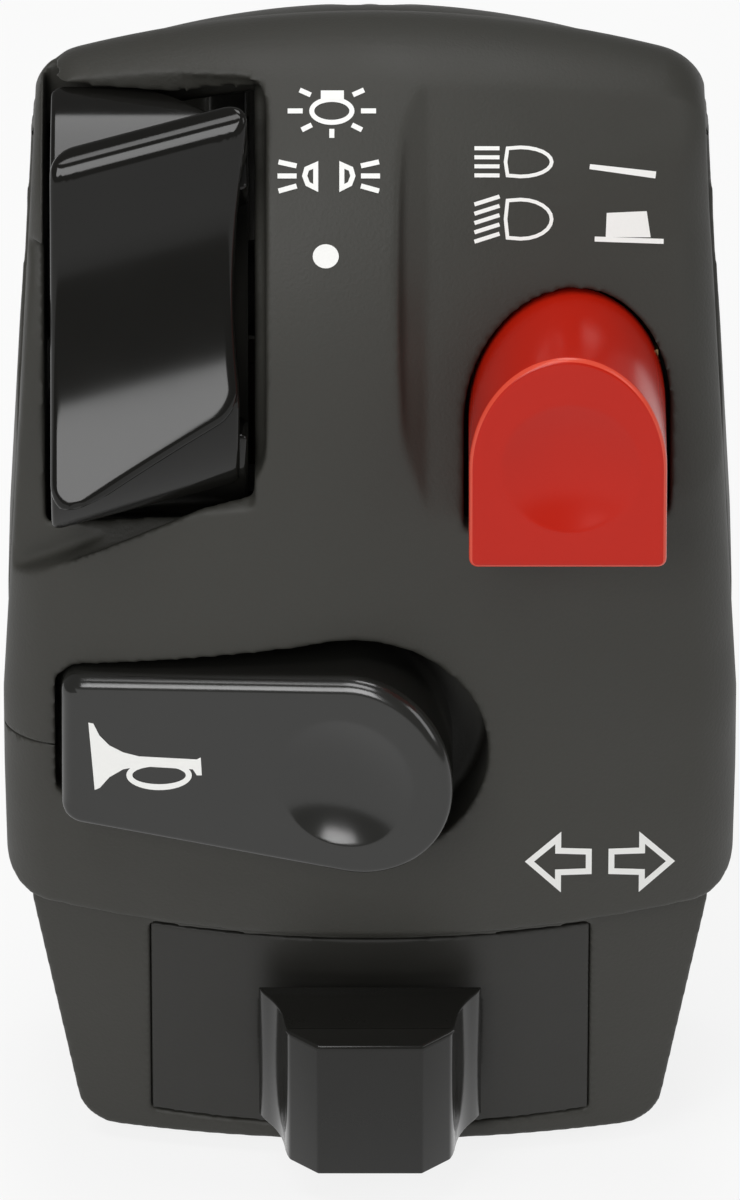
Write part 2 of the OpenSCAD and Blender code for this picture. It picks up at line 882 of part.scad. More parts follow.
// Three-way rocker with slanted ridges and a thumb valley
module light_rocker() {
    color("black")
    difference() {
        union() {
            translate([0, pivot_y, pivot_z]) {
                rail(rocker_x0, rocker_x1)
                    sector2d(apron_low_a, core_low_a, apron_in, apron_r);
                rail(rocker_x0, rocker_x1)
                    sector2d(core_low_a - 1, crown_low_a + 1, apron_in, core_out);
                rail(rocker_x0, rocker_x1)
                    sector2d(crown_low_a, crown_high_a, apron_in, crown_top_r);
                rail(rocker_x0, rocker_x1)
                    sector2d(crown_high_a - 10, tail_a, tail_in, tail_out);
                rail(hub_x0 + gap, hub_x1 - gap)
                    sector2d(hub_low_a, hub_high_a, hub_in, apron_in + overlap / 2);
                rod_x(hub_r, hub_x0, hub_x1);
            }
            rocker_ridges();
            rocker_skirt();
            block([arm_x0, pivot_y - arm_half, pivot_z - arm_end], [arm_x1, pivot_y + arm_half, pivot_z]);
        }
        translate([0, pivot_y, pivot_z])
            rod_x(pin_r + fit, hub_x0 - overlap, hub_x1 + overlap);
        translate([arm_mid, pivot_y, pivot_z - arm_end - overlap])
            cylinder(r = ball_r + fit, h = bore_d + overlap);
    }
}

// Radius of the rocker at an angle: the drum, or the valley scooped out of it
function rocker_at(a) =
    let (across_v = valley_at * sin(a - valley_a))
        abs(across_v) < valley_r
            ? min(rocker_r, valley_at * cos(a - valley_a) - sqrt(valley_r * valley_r - across_v * across_v))
            : rocker_r;

// Slanted drum of the rocker with its valley, no larger than r
module rocker_drum(r, a0, a1) {
    steps = 24;
    inner = 12;
    angles = [for (i = [0:steps]) a0 + i * (a1 - a0) / steps];
    translate([rocker_mid, pivot_y, pivot_z])
        rotate([0, -rocker_slant, 0])
            rail(-11, 11)
                polygon(concat(
                    [for (a = angles) min(r, rocker_at(a)) * [-cos(a), sin(a)]],
                    [inner * [-cos(a1), sin(a1)], inner * [-cos(a0), sin(a0)]]));
}

// Height of the slanted lower rim of the rocker
function rim_at(x) = rim_z + (x - rocker_mid) * tan(rim_slope);

// Two raised ridges of the rocker, cut off along the rim
module rocker_ridges() {
    corner_x = rocker_x1 - rim_corner;
    intersection() {
        rocker_drum(rocker_r, rocker_low_a, rocker_high_a);
        slab(-far, 0)
            polygon([[rocker_x0, rim_at(rocker_x0)], [corner_x, rim_at(corner_x)],
                [rocker_x1, rim_at(corner_x) + 1.5 * rim_corner], [rocker_x1, far], [rocker_x0, far]]);
    }
}

// Lower skirt of the rocker, set back behind the rim
module rocker_skirt() {
    intersection() {
        rocker_drum(skirt_r, skirt_a, 0);
        block([rocker_x0, -far, -far], [rocker_x1, 0, far]);
    }
}

// Pin that the rocker turns on
module rocker_pin() {
    color("silver")
    translate([0, pivot_y, pivot_z])
        rod_x(pin_r, -half_w + wall + gap, web_x1);
}

// Sprung brass wiper on the arm of the rocker
module rocker_wiper() {
    color("goldenrod")
    translate([arm_x1, pivot_y, pivot_z]) {
        block([0, -1, -wiper_end], [wiper_t, 1, -wiper_top]);
        block([wiper_t / 2, -0.8, -wiper_end + 0.2], [wiper_reach, 0.8, -wiper_end + 1]);
    }
}

// Contact board on the web beside the rocker
module rocker_contact_plate() {
    color("saddlebrown")
    translate([web_x0, pivot_y, pivot_z])
        block([-board_t, -1.9, -board_end], [0, 1.7, -board_top]);
}

// Curved rail with three notches for the detent ball
module rocker_detent_plate() {
    color("ivory")
    translate([0, pivot_y, pivot_z])
        difference() {
            barrel(-90 - detent_a, -90 + detent_a)
                translate([ball_at + ball_r + detent_gap, arm_x0])
                    square([detent_t, web_x0 - arm_x0]);
            for (a = [-rocker_swing, 0, rocker_swing])
                rotate([a, 0, 0])
                    translate([0, 0, -ball_at - gap])
                        rod_x(ball_r + detent_gap + fit, arm_x0 - overlap, arm_x1 + overlap);
        }
}

module rocker_detent_ball() {
    color("silver")
    translate([arm_mid, pivot_y, pivot_z - ball_at])
        sphere(r = ball_r);
}

module rocker_detent_spring() {
    color("silver")
    translate([arm_mid, pivot_y, pivot_z - arm_end + bore_d - detent_len])
        coil(0.7, 0.16, detent_len, 5);
}

// Red push button with a thumb dish
module dip_button() {
    color("red")
    difference() {
        union() {
            slab(-dip_front, -dip_back)
                dip2d(0);
            translate([dip_x, 0, dip_stem_z])
                rod_y(dip_stem_r, -dip_back - overlap, -dip_floor + dip_stem_out);
        }
        translate([dip_x, -dip_front - dish_r + dish_d, dip_dish_z])
            sphere(r = dish_r);
    }
}

// Guide behind the dip button, seated on the inside of the panel
module dip_guide() {
    color("ivory")
    difference() {
        intersection() {
            slab(-far, -dip_floor + guide_t)
                dip2d(gap + guide_wall);
            slab(-far, 0)
                polygon(mirrored(cavity_side(wall + joint_gap)));
            translate([0, panel_y, panel_z])
                barrel(-12, 40)
                    translate([panel_r / 2, 0])
                        square([panel_r / 2 - wall - crown_fall(dip_x + dip_w / 2 + 2), half_w]);
        }
        slab(-far, -dip_floor)
            dip2d(gap);
        translate([dip_x, 0, dip_stem_z]) {
            rod_y(dip_stem_r + fit, -dip_floor - overlap, 0);
            for (x = [-dip_post, dip_post])
                translate([x, 0, 0])
                    rod_y(dip_post_r + fit, -dip_floor - overlap, 0);
        }
    }
}

module dip_spring() {
    color("silver")
    translate([dip_x, -dip_floor, dip_stem_z])
        rotate([90, 0, 0])
            coil(3.2, 0.3, dip_back - dip_floor - bridge_t, 4);
}

// Moving contact bridge behind the dip button
module dip_bridge() {
    color("goldenrod")
    translate([dip_x, 0, dip_stem_z])
        difference() {
            block([-bridge_x, -dip_back, -bridge_z], [bridge_x, -dip_back + bridge_t, bridge_z]);
            rod_y(dip_stem_r + fit, -dip_back - overlap, 0);
        }
}

// Fixed contact posts in the floor of the guide
module dip_contacts() {
    color("goldenrod")
    translate([dip_x, 0, dip_stem_z])
        for (x = [-dip_post, dip_post])
            translate([x, 0, 0])
                rod_y(dip_post_r, -dip_back + dip_travel + bridge_t + gap, -dip_floor + dip_post_out);
}

// Horn button, hinged at its left end
module horn_button() {
    knuckle = horn_pin_r + horn_knuckle;
    color("black")
    difference() {
        union() {
            intersection() {
                slab(-far, -horn_back)
                    horn2d(horn_r, horn_z, horn_x0, horn_end_h, horn_corner);
                translate([horn_x0, -horn_face, horn_z])
                    rotate([0, 0, -horn_tilt])
                        block([-far, 0, -far], [far, far, far]);
            }
            translate([horn_pin_x, horn_pin_y, horn_z - horn_end_h / 2])
                cylinder(r = knuckle, h = horn_end_h);
            block([horn_pin_x - knuckle, -horn_back - overlap, horn_z - horn_end_h / 2],
                [horn_pin_x + knuckle, horn_pin_y, horn_z + horn_end_h / 2]);
            translate([horn_post_x, 0, horn_z])
                rod_y(horn_post_r, -horn_back - overlap, -post_end);
        }
        translate([horn_pin_x, horn_pin_y, horn_z - horn_end_h])
            cylinder(r = horn_pin_r + fit, h = 2 * horn_end_h);
        translate([horn_spring_x, 0, horn_z])
            rod_y(horn_cup_r, -horn_back - horn_cup_d, 0);
        translate([horn_x0, -horn_face, horn_z])
            rotate([0, 0, -horn_tilt])
                translate([horn_len, -dish_r + dish_d, horn_dish_z])
                    sphere(r = dish_r);
    }
}

module horn_pin() {
    color("silver")
    translate([horn_pin_x, horn_pin_y, horn_z - horn_pin_len / 2])
        cylinder(r = horn_pin_r, h = horn_pin_len);
}

module horn_spring() {
    color("silver")
    translate([horn_spring_x, -well_floor, horn_z])
        rotate([90, 0, 0])
            coil(horn_spring_r, 0.3, horn_back + horn_cup_d - well_floor, 4);
}

// Brass tip on the post of the horn button
module horn_tip() {
    color("goldenrod")
    translate([horn_post_x, 0, horn_z])
        rod_y(horn_post_r, -post_end, -post_end + tip_t);
}

// Sprung leaf that the tip closes on
module horn_leaf() {
    color("goldenrod")
    translate([horn_post_x, -leaf_y, horn_z])
        block([leaf_x0, 0, -leaf_z], [leaf_x1, leaf_t, leaf_z]);
}

// Insulating base of the horn contact, seated behind the well floor
module horn_base() {
    color("saddlebrown")
    translate([horn_post_x, 0, horn_z])
        difference() {
            block([leaf_x0 - 1, -well_floor + well_t, -base_z], [leaf_x1 + 0.6, -base_back, base_z]);
            block([leaf_x0 + 0.1, -well_floor, -far], [leaf_x1 - 0.6, -leaf_y, far]);
            block([leaf_x0, -leaf_y - 0.1, -leaf_z], [leaf_x1, -leaf_y + leaf_t, leaf_z]);
        }
}

// Knob of the indicator switch, with finger scallops on its slanted sides
module indicator_knob() {
    w = knob_w / 2;
    shoulder = -knob_out + knob_bevel;
    slant = atan(knob_draft / (knob_base - shoulder));
    out = scallop_r - scallop_d;
    color("black")
    on_chin()
        difference() {
            union() {
                translate([0, 0, -knob_h / 2])
                    linear_extrude(knob_h)
                        polygon([[-w, knob_base], [-w + knob_draft, shoulder],
                            [-knob_tip / 2, -knob_out], [knob_tip / 2, -knob_out],
                            [w - knob_draft, shoulder], [w, knob_base]]);
                rod_y(stem_r, knob_base - overlap, stem_end);
            }
            for (x = [-1, 1])
                translate([x * (w - knob_draft / 2 + out * cos(slant)),
                    (knob_base + shoulder) / 2 - out * sin(slant), -knob_h])
                    cylinder(r = scallop_r, h = 2 * knob_h);
        }
}

// Carriage that the knob slides with
module indicator_carriage() {
    color("ivory")
    on_chin()
        difference() {
            block([-carriage_x, carriage_y, -carriage_z], [carriage_x, carriage_back, carriage_z]);
            rod_y(stem_r + fit, carriage_y - overlap, cancel_back);
        }
}

// Shutter that keeps the slot of the bezel covered
module indicator_shutter() {
    color("black")
    on_chin()
        difference() {
            block([-shutter_x, shutter_y, -shutter_z], [shutter_x, carriage_y, shutter_z]);
            rod_y(stem_r + fit, shutter_y - overlap, carriage_y + overlap);
        }
}

// Brass wiper on the back of the carriage
module indicator_wiper() {
    color("goldenrod")
    on_chin() {
        block([-comb_x, carriage_back, -comb_z], [comb_x, carriage_back + comb_t, comb_z]);
        for (z = [-2, 2])
            block([-3, carriage_back + comb_t / 2, z - 0.5], [-1.5, comb_tip, z + 0.5]);
    }
}

// Body of the indicator switch, seated on the back of the bezel
module indicator_body() {
    color("ivory")
    on_chin()
        difference() {
            block([-body_x, bezel_back, -body_z], [body_x, body_back, body_z]);
            block([-body_in[0], bezel_back - overlap, -body_in[2]], body_in);
            block([-far, bezel_back - overlap, -body_in[2]], [far, carriage_y + gap, body_in[2]]);
        }
}

module indicator_contact_plate() {
    color("saddlebrown")
    on_chin()
        block([-plate_x, plate_y, -plate_z], [plate_x, body_in[1], plate_z]);
}

// Two springs that bring the carriage back to the middle
module centring_springs() {
    color("silver")
    on_chin()
        for (s = [-1, 1])
            translate([s * carriage_x, spring_y, 0])
                rotate([0, s * 90, 0])
                    coil(1.9, 0.28, body_in[0] - carriage_x, 5);
}

module cancel_spring() {
    color("silver")
    on_chin()
        translate([0, cancel_back, 0])
            rotate([90, 0, 0])
                coil(1.9, 0.25, cancel_back - stem_end, 3);
}

front_shell();
rear_shell();
chin_housing();
indicator_bezel();
clamp_screws();
clamp_inserts();
chin_screws();
loom_grommet();
light_rocker();
rocker_pin();
rocker_wiper();
rocker_contact_plate();
rocker_detent_plate();
rocker_detent_ball();
rocker_detent_spring();
dip_button();
dip_guide();
dip_spring();
dip_bridge();
dip_contacts();
horn_button();
horn_pin();
horn_spring();
horn_tip();
horn_leaf();
horn_base();
indicator_knob();
indicator_carriage();
indicator_shutter();
indicator_wiper();
indicator_body();
indicator_contact_plate();
centring_springs();
cancel_spring();
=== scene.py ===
"""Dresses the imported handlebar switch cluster: smooth shells, glossy controls, white print and a studio."""

import logging
import math
from dataclasses import dataclass
from enum import Enum
from functools import partial
from typing import Callable, Sequence, Union

import bmesh
import bpy
from mathutils import Matrix, Vector
from mathutils.bvhtree import BVHTree


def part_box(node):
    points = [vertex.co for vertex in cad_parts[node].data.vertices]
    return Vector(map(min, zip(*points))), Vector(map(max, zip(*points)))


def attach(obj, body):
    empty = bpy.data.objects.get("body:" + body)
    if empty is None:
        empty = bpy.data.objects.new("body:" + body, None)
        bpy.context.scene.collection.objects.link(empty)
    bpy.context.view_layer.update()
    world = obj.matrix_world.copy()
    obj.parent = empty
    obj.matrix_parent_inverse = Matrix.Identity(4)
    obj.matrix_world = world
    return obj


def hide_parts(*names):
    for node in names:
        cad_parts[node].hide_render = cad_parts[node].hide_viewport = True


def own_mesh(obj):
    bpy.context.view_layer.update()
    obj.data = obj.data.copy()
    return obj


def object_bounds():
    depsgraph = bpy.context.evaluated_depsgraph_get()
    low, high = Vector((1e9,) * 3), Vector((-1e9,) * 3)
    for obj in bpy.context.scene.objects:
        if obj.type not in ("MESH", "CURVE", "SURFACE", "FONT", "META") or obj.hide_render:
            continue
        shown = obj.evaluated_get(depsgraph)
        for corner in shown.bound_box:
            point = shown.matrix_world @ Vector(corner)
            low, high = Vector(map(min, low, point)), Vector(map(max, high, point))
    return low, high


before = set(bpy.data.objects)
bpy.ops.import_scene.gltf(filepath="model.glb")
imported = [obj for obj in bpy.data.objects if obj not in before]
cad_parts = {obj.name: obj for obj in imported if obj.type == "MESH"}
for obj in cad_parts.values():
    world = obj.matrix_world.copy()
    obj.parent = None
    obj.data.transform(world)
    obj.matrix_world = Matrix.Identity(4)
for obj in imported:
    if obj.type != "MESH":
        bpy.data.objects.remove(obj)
CAD_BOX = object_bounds()

LOG = logging.getLogger("switch_cluster")
# Metres in a millimetre. Sizes are in millimetres unless their class says otherwise.
MM = 0.001
# Points closer together than this become one.
MERGE_MM = 0.0005
# Share of the way that one smoothing pass moves a point.
SMOOTHING = 0.5
# Shape of a bevel that is part of a circle.
ROUND_PROFILE = 0.5
# Degrees between the points of a button's arc.
ARC_STEP = 3
# Fewest steps round a corner, and facets of a drum.
CORNER_STEPS = 4
DRUM_SIDES = 200
# Depth of wall that is more than any button has, so that the wall ends at the button's back.
THROUGH = 99.0
Point2 = tuple[float, float]
Point3 = tuple[float, float, float]
Box = tuple[Point3, Point3]


class Body(Enum):
    """Moving groups of the cluster."""

    HOUSING = "housing"
    ROCKER = "rocker"
    DIP = "dip"
    HORN = "horn"
    CARRIAGE = "carriage"
    KNOB = "knob"


class Solve(Enum):
    """Ways to combine two solids."""

    KEEP_SHARED = "INTERSECT"
    CUT = "DIFFERENCE"
    ADD = "UNION"


class Socket:
    """A shader socket that takes part in Python expressions."""

    def __init__(self, kit: "NodeKit", socket: bpy.types.NodeSocket) -> None:
        """Keeps the socket and the node kit it belongs to."""
        self.kit = kit
        self.socket = socket

    def _math(self, operation: str, first: "Feed", second: "Feed") -> "Socket":
        """Adds one Math node."""
        return self.kit.node("ShaderNodeMath", {"operation": operation}, {0: first, 1: second})

    def __add__(self, other: "Feed") -> "Socket":
        """Socket plus value."""
        return self._math("ADD", self, other)

    def __mul__(self, other: "Feed") -> "Socket":
        """Socket times value."""
        return self._math("MULTIPLY", self, other)


Feed = Union[Socket, float, Sequence[float]]


class NodeKit:
    """Adds nodes to one material or world."""

    def __init__(self, tree: bpy.types.NodeTree) -> None:
        """Starts from an empty tree."""
        self.tree = tree
        tree.nodes.clear()

    def node(self, kind: str, settings: dict, feeds: dict, out: Union[int, str] = 0) -> Socket:
        """Adds a node.

        Args:
            kind: Node type.
            settings: Attributes to set first.
            feeds: Values or links by socket name or index.
            out: Output socket to return.

        Returns:
            The wrapped output socket.
        """
        made = self.tree.nodes.new(kind)
        for name, value in settings.items():
            setattr(made, name, value)
        for key, value in feeds.items():
            if isinstance(value, Socket):
                self.tree.links.new(value.socket, made.inputs[key])
            else:
                made.inputs[key].default_value = value
        return Socket(self, made.outputs[out]) if made.outputs else Socket(self, None)

    def place(self) -> Socket:
        """Object coordinates."""
        return self.node("ShaderNodeTexCoord", {}, {}, "Object")

    def noise(self, size_mm: float, detail: float = 2.0, stretch: Sequence[float] = (1, 1, 1)) -> Socket:
        """Noise with features of a given size.

        Args:
            size_mm: Size of one feature.
            detail: Octaves.
            stretch: Scale of the coordinates along X, Y and Z.

        Returns:
            The noise value, about 0.5.
        """
        spot = self.node("ShaderNodeMapping", {}, {"Vector": self.place(), "Scale": stretch})
        return self.node("ShaderNodeTexNoise", {},
                         {"Vector": spot, "Scale": 1 / (size_mm * MM), "Detail": detail})

    def blend(self, share: Feed, low: Sequence[float], high: Sequence[float]) -> Socket:
        """Mixes two colours by a share."""
        return self.node("ShaderNodeMix", {"data_type": "RGBA"},
                         {0: share, 6: (*low, 1), 7: (*high, 1)}, 2)

    def bump(self, height: Socket, depth_mm: float) -> Socket:
        """Turns a height into a normal."""
        return self.node("ShaderNodeBump", {}, {"Height": height, "Distance": depth_mm * MM})


@dataclass(frozen=True)
class Finish:
    """A surface finish: colour, roughness and the small detail of the real material."""

    name: str
    slot: str
    colour: Point3
    roughness: float
    metallic: float = 0.0
    grain_mm: float = 0.2
    grain_depth_mm: float = 0.01
    mottle_mm: float = 6.0
    mottle: float = 0.12
    stretch: Point3 = (1, 1, 1)
    smudge: float = 0.08
    specular: float = 0.5
    cloud_share: float = 0.6
    cloud_detail: float = 3.0

    def material(self) -> bpy.types.Material:
        """Returns the material of this finish, made once."""
        found = bpy.data.materials.get(self.name)
        return found or self._make()

    def _make(self) -> bpy.types.Material:
        """Builds the nodes: mottled colour, uneven gloss and a fine grain.

        Returns:
            The new material.
        """
        material = bpy.data.materials.new(self.name)
        material.use_nodes = True
        kit = NodeKit(material.node_tree)
        cloud = kit.noise(self.mottle_mm, self.cloud_detail, self.stretch)
        grain = kit.noise(self.grain_mm, stretch=self.stretch)
        low = tuple(c * (1 - self.mottle) for c in self.colour)
        high = tuple(min(1.0, c * (1 + self.mottle)) for c in self.colour)
        feeds = {
            "Base Color": kit.blend(cloud * self.cloud_share + grain * (1 - self.cloud_share), low, high),
            "Roughness": cloud * (2 * self.smudge) + (self.roughness - self.smudge),
            "Metallic": self.metallic,
            "Specular IOR Level": self.specular,
        }
        if self.grain_depth_mm:
            feeds["Normal"] = kit.bump(grain, self.grain_depth_mm)
        shader = kit.node("ShaderNodeBsdfPrincipled", {}, feeds)
        kit.node("ShaderNodeOutputMaterial", {}, {"Surface": shader})
        return material


SHELL = Finish("moulded_shell", "shell", (0.033, 0.0322, 0.0272), 0.55, grain_mm=0.22, grain_depth_mm=0.02,
               specular=0.4)
BEZEL = Finish("satin_bezel", "bezel", (0.018, 0.0175, 0.015), 0.5, grain_mm=0.25, grain_depth_mm=0.008,
               specular=0.4)
GLOSS = Finish("polished_black", "gloss_black", (0.007, 0.0068, 0.006), 0.09, grain_depth_mm=0.0,
               mottle_mm=4, smudge=0.02, specular=0.27)
DULL_BLACK = Finish("dull_black", "gloss_black", (0.009, 0.0088, 0.008), 0.5, grain_depth_mm=0.004,
                    specular=0.15)
HORN_BLACK = Finish("satin_horn_button", "gloss_black", (0.013, 0.013, 0.0115), 0.16, grain_depth_mm=0.001,
                    mottle_mm=4, smudge=0.03, specular=0.6)
KNOB_BLACK = Finish("satin_knob", "gloss_black", (0.012, 0.0118, 0.0105), 0.14, grain_depth_mm=0.001,
                    mottle_mm=3, smudge=0.03, specular=0.3)
RED = Finish("satin_red", "red", (0.47, 0.013, 0.004), 0.24, grain_depth_mm=0.002, mottle_mm=5,
             mottle=0.04, smudge=0.04, specular=0.26)
# Lighter red for the rounded edge of the dip button: a painted highlight that stands in for the lamps' light
# line along the arch.
RED_PAINTED_HIGHLIGHT = Finish("red_painted_highlight", "red", (0.68, 0.07, 0.038), 0.24, grain_depth_mm=0.002, mottle_mm=5,
                  mottle=0.04, smudge=0.04, specular=0.3)
WHITE = Finish("white_print", "shell", (0.86, 0.86, 0.84), 0.5, grain_depth_mm=0.004, mottle=0.04)
INNER = Finish("natural_moulding", "inner_plastic", (0.045, 0.044, 0.042), 0.45, mottle=0.1)
BOARD = Finish("dark_laminate", "board", (0.06, 0.038, 0.024), 0.5, grain_mm=0.4, stretch=(1, 6, 1))
STEEL = Finish("zinc_steel", "steel", (0.58, 0.58, 0.57), 0.34, 1.0, grain_mm=0.15,
               grain_depth_mm=0.004, stretch=(1, 5, 1))
BRASS = Finish("bare_brass", "brass", (0.4, 0.29, 0.14), 0.4, 1.0, grain_mm=0.2, grain_depth_mm=0.004)
DARK_STEEL = Finish("blackened_steel", "steel", (0.03, 0.03, 0.029), 0.4, 1.0, grain_mm=0.2)
RUBBER = Finish("soft_rubber", "grommet", (0.03, 0.03, 0.029), 0.7, grain_mm=0.3)


def show(bm: bmesh.types.BMesh, name: str, sharp_deg: float = 35.0) -> bpy.types.Object:
    """Turns a bmesh into a linked object with smooth faces and sharp creases.

    Args:
        bm: Mesh in metres; it is freed.
        name: Name of the piece.
        sharp_deg: Edges that turn more than this stay crisp.

    Returns:
        The new object, at the origin.
    """
    limit = math.radians(sharp_deg)
    for face in bm.faces:
        face.smooth = True
    for edge in bm.edges:
        edge.smooth = len(edge.link_faces) == 2 and edge.calc_face_angle(0.0) < limit
    mesh = bpy.data.meshes.new(name)
    bm.to_mesh(mesh)
    bm.free()
    made = bpy.data.objects.new(name, mesh)
    bpy.context.scene.collection.objects.link(made)
    return made


def settle(piece: bpy.types.Object) -> bpy.types.Object:
    """Applies the modifiers of a piece to its mesh.

    Args:
        piece: Object with modifiers.

    Returns:
        The same object.
    """
    graph = bpy.context.evaluated_depsgraph_get()
    mesh = bpy.data.meshes.new_from_object(piece.evaluated_get(graph), depsgraph=graph)
    piece.modifiers.clear()
    piece.data = mesh
    return piece


def combine(piece: bpy.types.Object, tool: bpy.types.Object, how: Solve) -> bpy.types.Object:
    """Combines a piece with a tool solid and removes the tool.

    Args:
        piece: Solid to change.
        tool: Solid that is used up.
        how: Way to combine them.

    Returns:
        The same object.
    """
    step = piece.modifiers.new(how.name, "BOOLEAN")
    step.operation = how.value
    step.solver = "MANIFOLD"
    step.object = tool
    settle(piece)
    bpy.data.objects.remove(tool)
    return piece


def cad_copy(node: str, name: str) -> bpy.types.Object:
    """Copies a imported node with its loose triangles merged.

    Args:
        node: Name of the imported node.
        name: Name of the copy.

    Returns:
        The copy.
    """
    bm = bmesh.new()
    bm.from_mesh(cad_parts[node].data)
    bmesh.ops.remove_doubles(bm, verts=bm.verts, dist=MERGE_MM * MM)
    return show(bm, name)


@dataclass(frozen=True)
class Softness:
    """How a moulding is rounded: size of its cells, smoothing passes and share of the faces kept."""

    voxel_mm: float
    rounds: int
    keep: float


def soften(piece: bpy.types.Object, softness: Softness) -> bpy.types.Object:
    """Rounds every edge of a solid the way a moulding is rounded.

    Args:
        piece: Solid to soften.
        softness: How far it is rounded.

    Returns:
        The same object.
    """
    remesh = piece.modifiers.new("cells", "REMESH")
    remesh.mode = "VOXEL"
    remesh.voxel_size = softness.voxel_mm * MM
    remesh.use_smooth_shade = True
    smooth = piece.modifiers.new("round", "SMOOTH")
    smooth.factor = SMOOTHING
    smooth.iterations = softness.rounds
    thin = piece.modifiers.new("thin", "DECIMATE")
    thin.ratio = softness.keep
    settle(piece)
    for face in piece.data.polygons:
        face.use_smooth = True
    return piece


def fit_out(piece: bpy.types.Object, finish: Finish, body: Body, *nodes: str) -> bpy.types.Object:
    """Gives a piece its finish and body, and hides the nodes it stands for.

    Args:
        piece: Finished mesh.
        finish: Its surface.
        body: Moving group that carries it.
        *nodes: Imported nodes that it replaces.

    Returns:
        The same object.
    """
    piece.data.materials.clear()
    piece.data.materials.append(finish.material())
    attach(piece, body.value)
    if nodes:
        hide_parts(*nodes)
    LOG.info("%s on %s: %d faces", piece.name, body.value, len(piece.data.polygons))
    return piece


def verts_in(geom: Sequence[bmesh.types.BMVert]) -> list[bmesh.types.BMVert]:
    """Vertices among the new elements that an operator returns."""
    return [g for g in geom if isinstance(g, bmesh.types.BMVert)]


def soft_bevel(bm: bmesh.types.BMesh, edges: Sequence[bmesh.types.BMEdge], radius_mm: float,
               segments: int) -> None:
    """Rounds some edges with a circular profile."""
    bmesh.ops.bevel(bm, geom=list(edges), offset=radius_mm * MM, offset_type="OFFSET", segments=segments,
                    profile=ROUND_PROFILE, affect="EDGES", material=-1, clamp_overlap=True)


def creases(bm: bmesh.types.BMesh, angle_deg: float) -> list[bmesh.types.BMEdge]:
    """Edges that turn more than an angle."""
    limit = math.radians(angle_deg)
    return [e for e in bm.edges if len(e.link_faces) == 2 and e.calc_face_angle(0.0) > limit]


def ease(value: float, start: float, end: float) -> float:
    """Smooth rise from 0 at the start to 1 at the end."""
    share = max(0.0, min(1.0, (value - start) / (end - start)))
    return share * share * (3 - 2 * share)


@dataclass(frozen=True)
class ShellForm:
    """Sizes that the front shell, the rear shell and the chin share, in millimetres."""

    half_w: float = 23.2
    crown_r: float = 65.0
    edge_r: float = 2.8
    taper: float = 0.056
    mid_z: float = -19.0
    brow_r: float = 28.5
    brow_z: float = 3.0
    brow_join: float = 43.0
    face_r: float = 120.0
    face_low: float = -21.0
    shoulder_r: float = 8.0
    top_a: float = 118.0
    rear_a: float = 188.0
    rear_run: float = 53.0
    panel_r: float = 60.0
    panel_y: float = 31.6
    panel_z: float = -7.16
    step_x: float = 1.7
    step_run: float = 2.0
    rocker_pin: Point3 = (-13.75, -14.3, 6.3)
    # Share of the fall taken back at the top corners, and where along z and y that sets in.
    square: float = 0.32
    square_z: Point2 = (12.5, 18.5)
    square_y: Point2 = (-2.0, -11.0)
    # Share of the half width where the edge begins, and least radius of a skin.
    knee: float = 0.72
    least_r: float = 0.4

    @property
    def face_y(self) -> float:
        """Centre of the long lower face."""
        return self.face_r - self.brow_r

    @property
    def shoulder(self) -> Point2:
        """Centre of the shoulder, as (y, z)."""
        core = self.brow_r - self.shoulder_r
        turn = math.radians(self.brow_join)
        return -core * math.cos(turn), self.brow_z + core * math.sin(turn)

    @property
    def rear_r(self) -> float:
        """Radius of the rear shell, which meets the top of the front shell."""
        turn = math.radians(self.top_a)
        y, z = self.shoulder
        run = -(y - self.shoulder_r * math.cos(turn)) / math.sin(turn)
        return z + self.shoulder_r * math.sin(turn) + run * math.cos(turn)

    def fall(self, x: float) -> float:
        """Fall of the surface from the middle of the crown to x on the untapered width.

        Args:
            x: Place across in millimetres.

        Returns:
            The fall in millimetres.
        """
        crown = self.crown_r - math.sqrt(self.crown_r ** 2 - x * x)
        over = abs(x) - self.half_w + self.edge_r
        if over <= 0:
            return crown
        return crown + self.edge_r - math.sqrt(max(0.0, self.edge_r ** 2 - over * over))

    def squared(self, y: float, z: float) -> float:
        """Share of the fall taken back near the shoulder, whose corners are squarer than the crown."""
        return self.square * ease(z, *self.square_z) * ease(y, *self.square_y)

    def half_at(self, z: float) -> float:
        """Half width at a height."""
        return self.half_w - self.taper * max(0.0, z - self.mid_z)

    def across(self, u: float) -> float:
        """Untapered x for a share of the width from -1 to 1, closer together over the edges.

        Args:
            u: Share of the half width.

        Returns:
            The place across in millimetres.
        """
        flat = self.half_w - self.edge_r
        if abs(u) < self.knee:
            return flat * u / self.knee
        turn = math.radians(90 * (abs(u) - self.knee) / (1 - self.knee))
        return math.copysign(flat + self.edge_r * math.sin(turn), u)


FORM = ShellForm()


@dataclass(frozen=True)
class Sweep:
    """One stretch of a shell's side profile: an arc about a centre, or a straight run of it."""

    centre: Point2
    radius: float
    start: float
    end: float
    run: Point2 = (0.0, 0.0)

    def length(self) -> float:
        """Length of the stretch."""
        return abs(math.radians(self.end - self.start)) * self.radius + math.hypot(*self.run)

    def at(self, share: float, fall: float) -> Point2:
        """Point as (y, z) at a share of the stretch, let down by a fall.

        Args:
            share: Share of the stretch from 0 to 1.
            fall: Distance towards the centre.

        Returns:
            The point in millimetres.
        """
        turn = math.radians(self.start + share * (self.end - self.start))
        r = max(FORM.least_r, self.radius - fall)
        return (self.centre[0] + share * self.run[0] - r * math.cos(turn),
                self.centre[1] + share * self.run[1] + r * math.sin(turn))


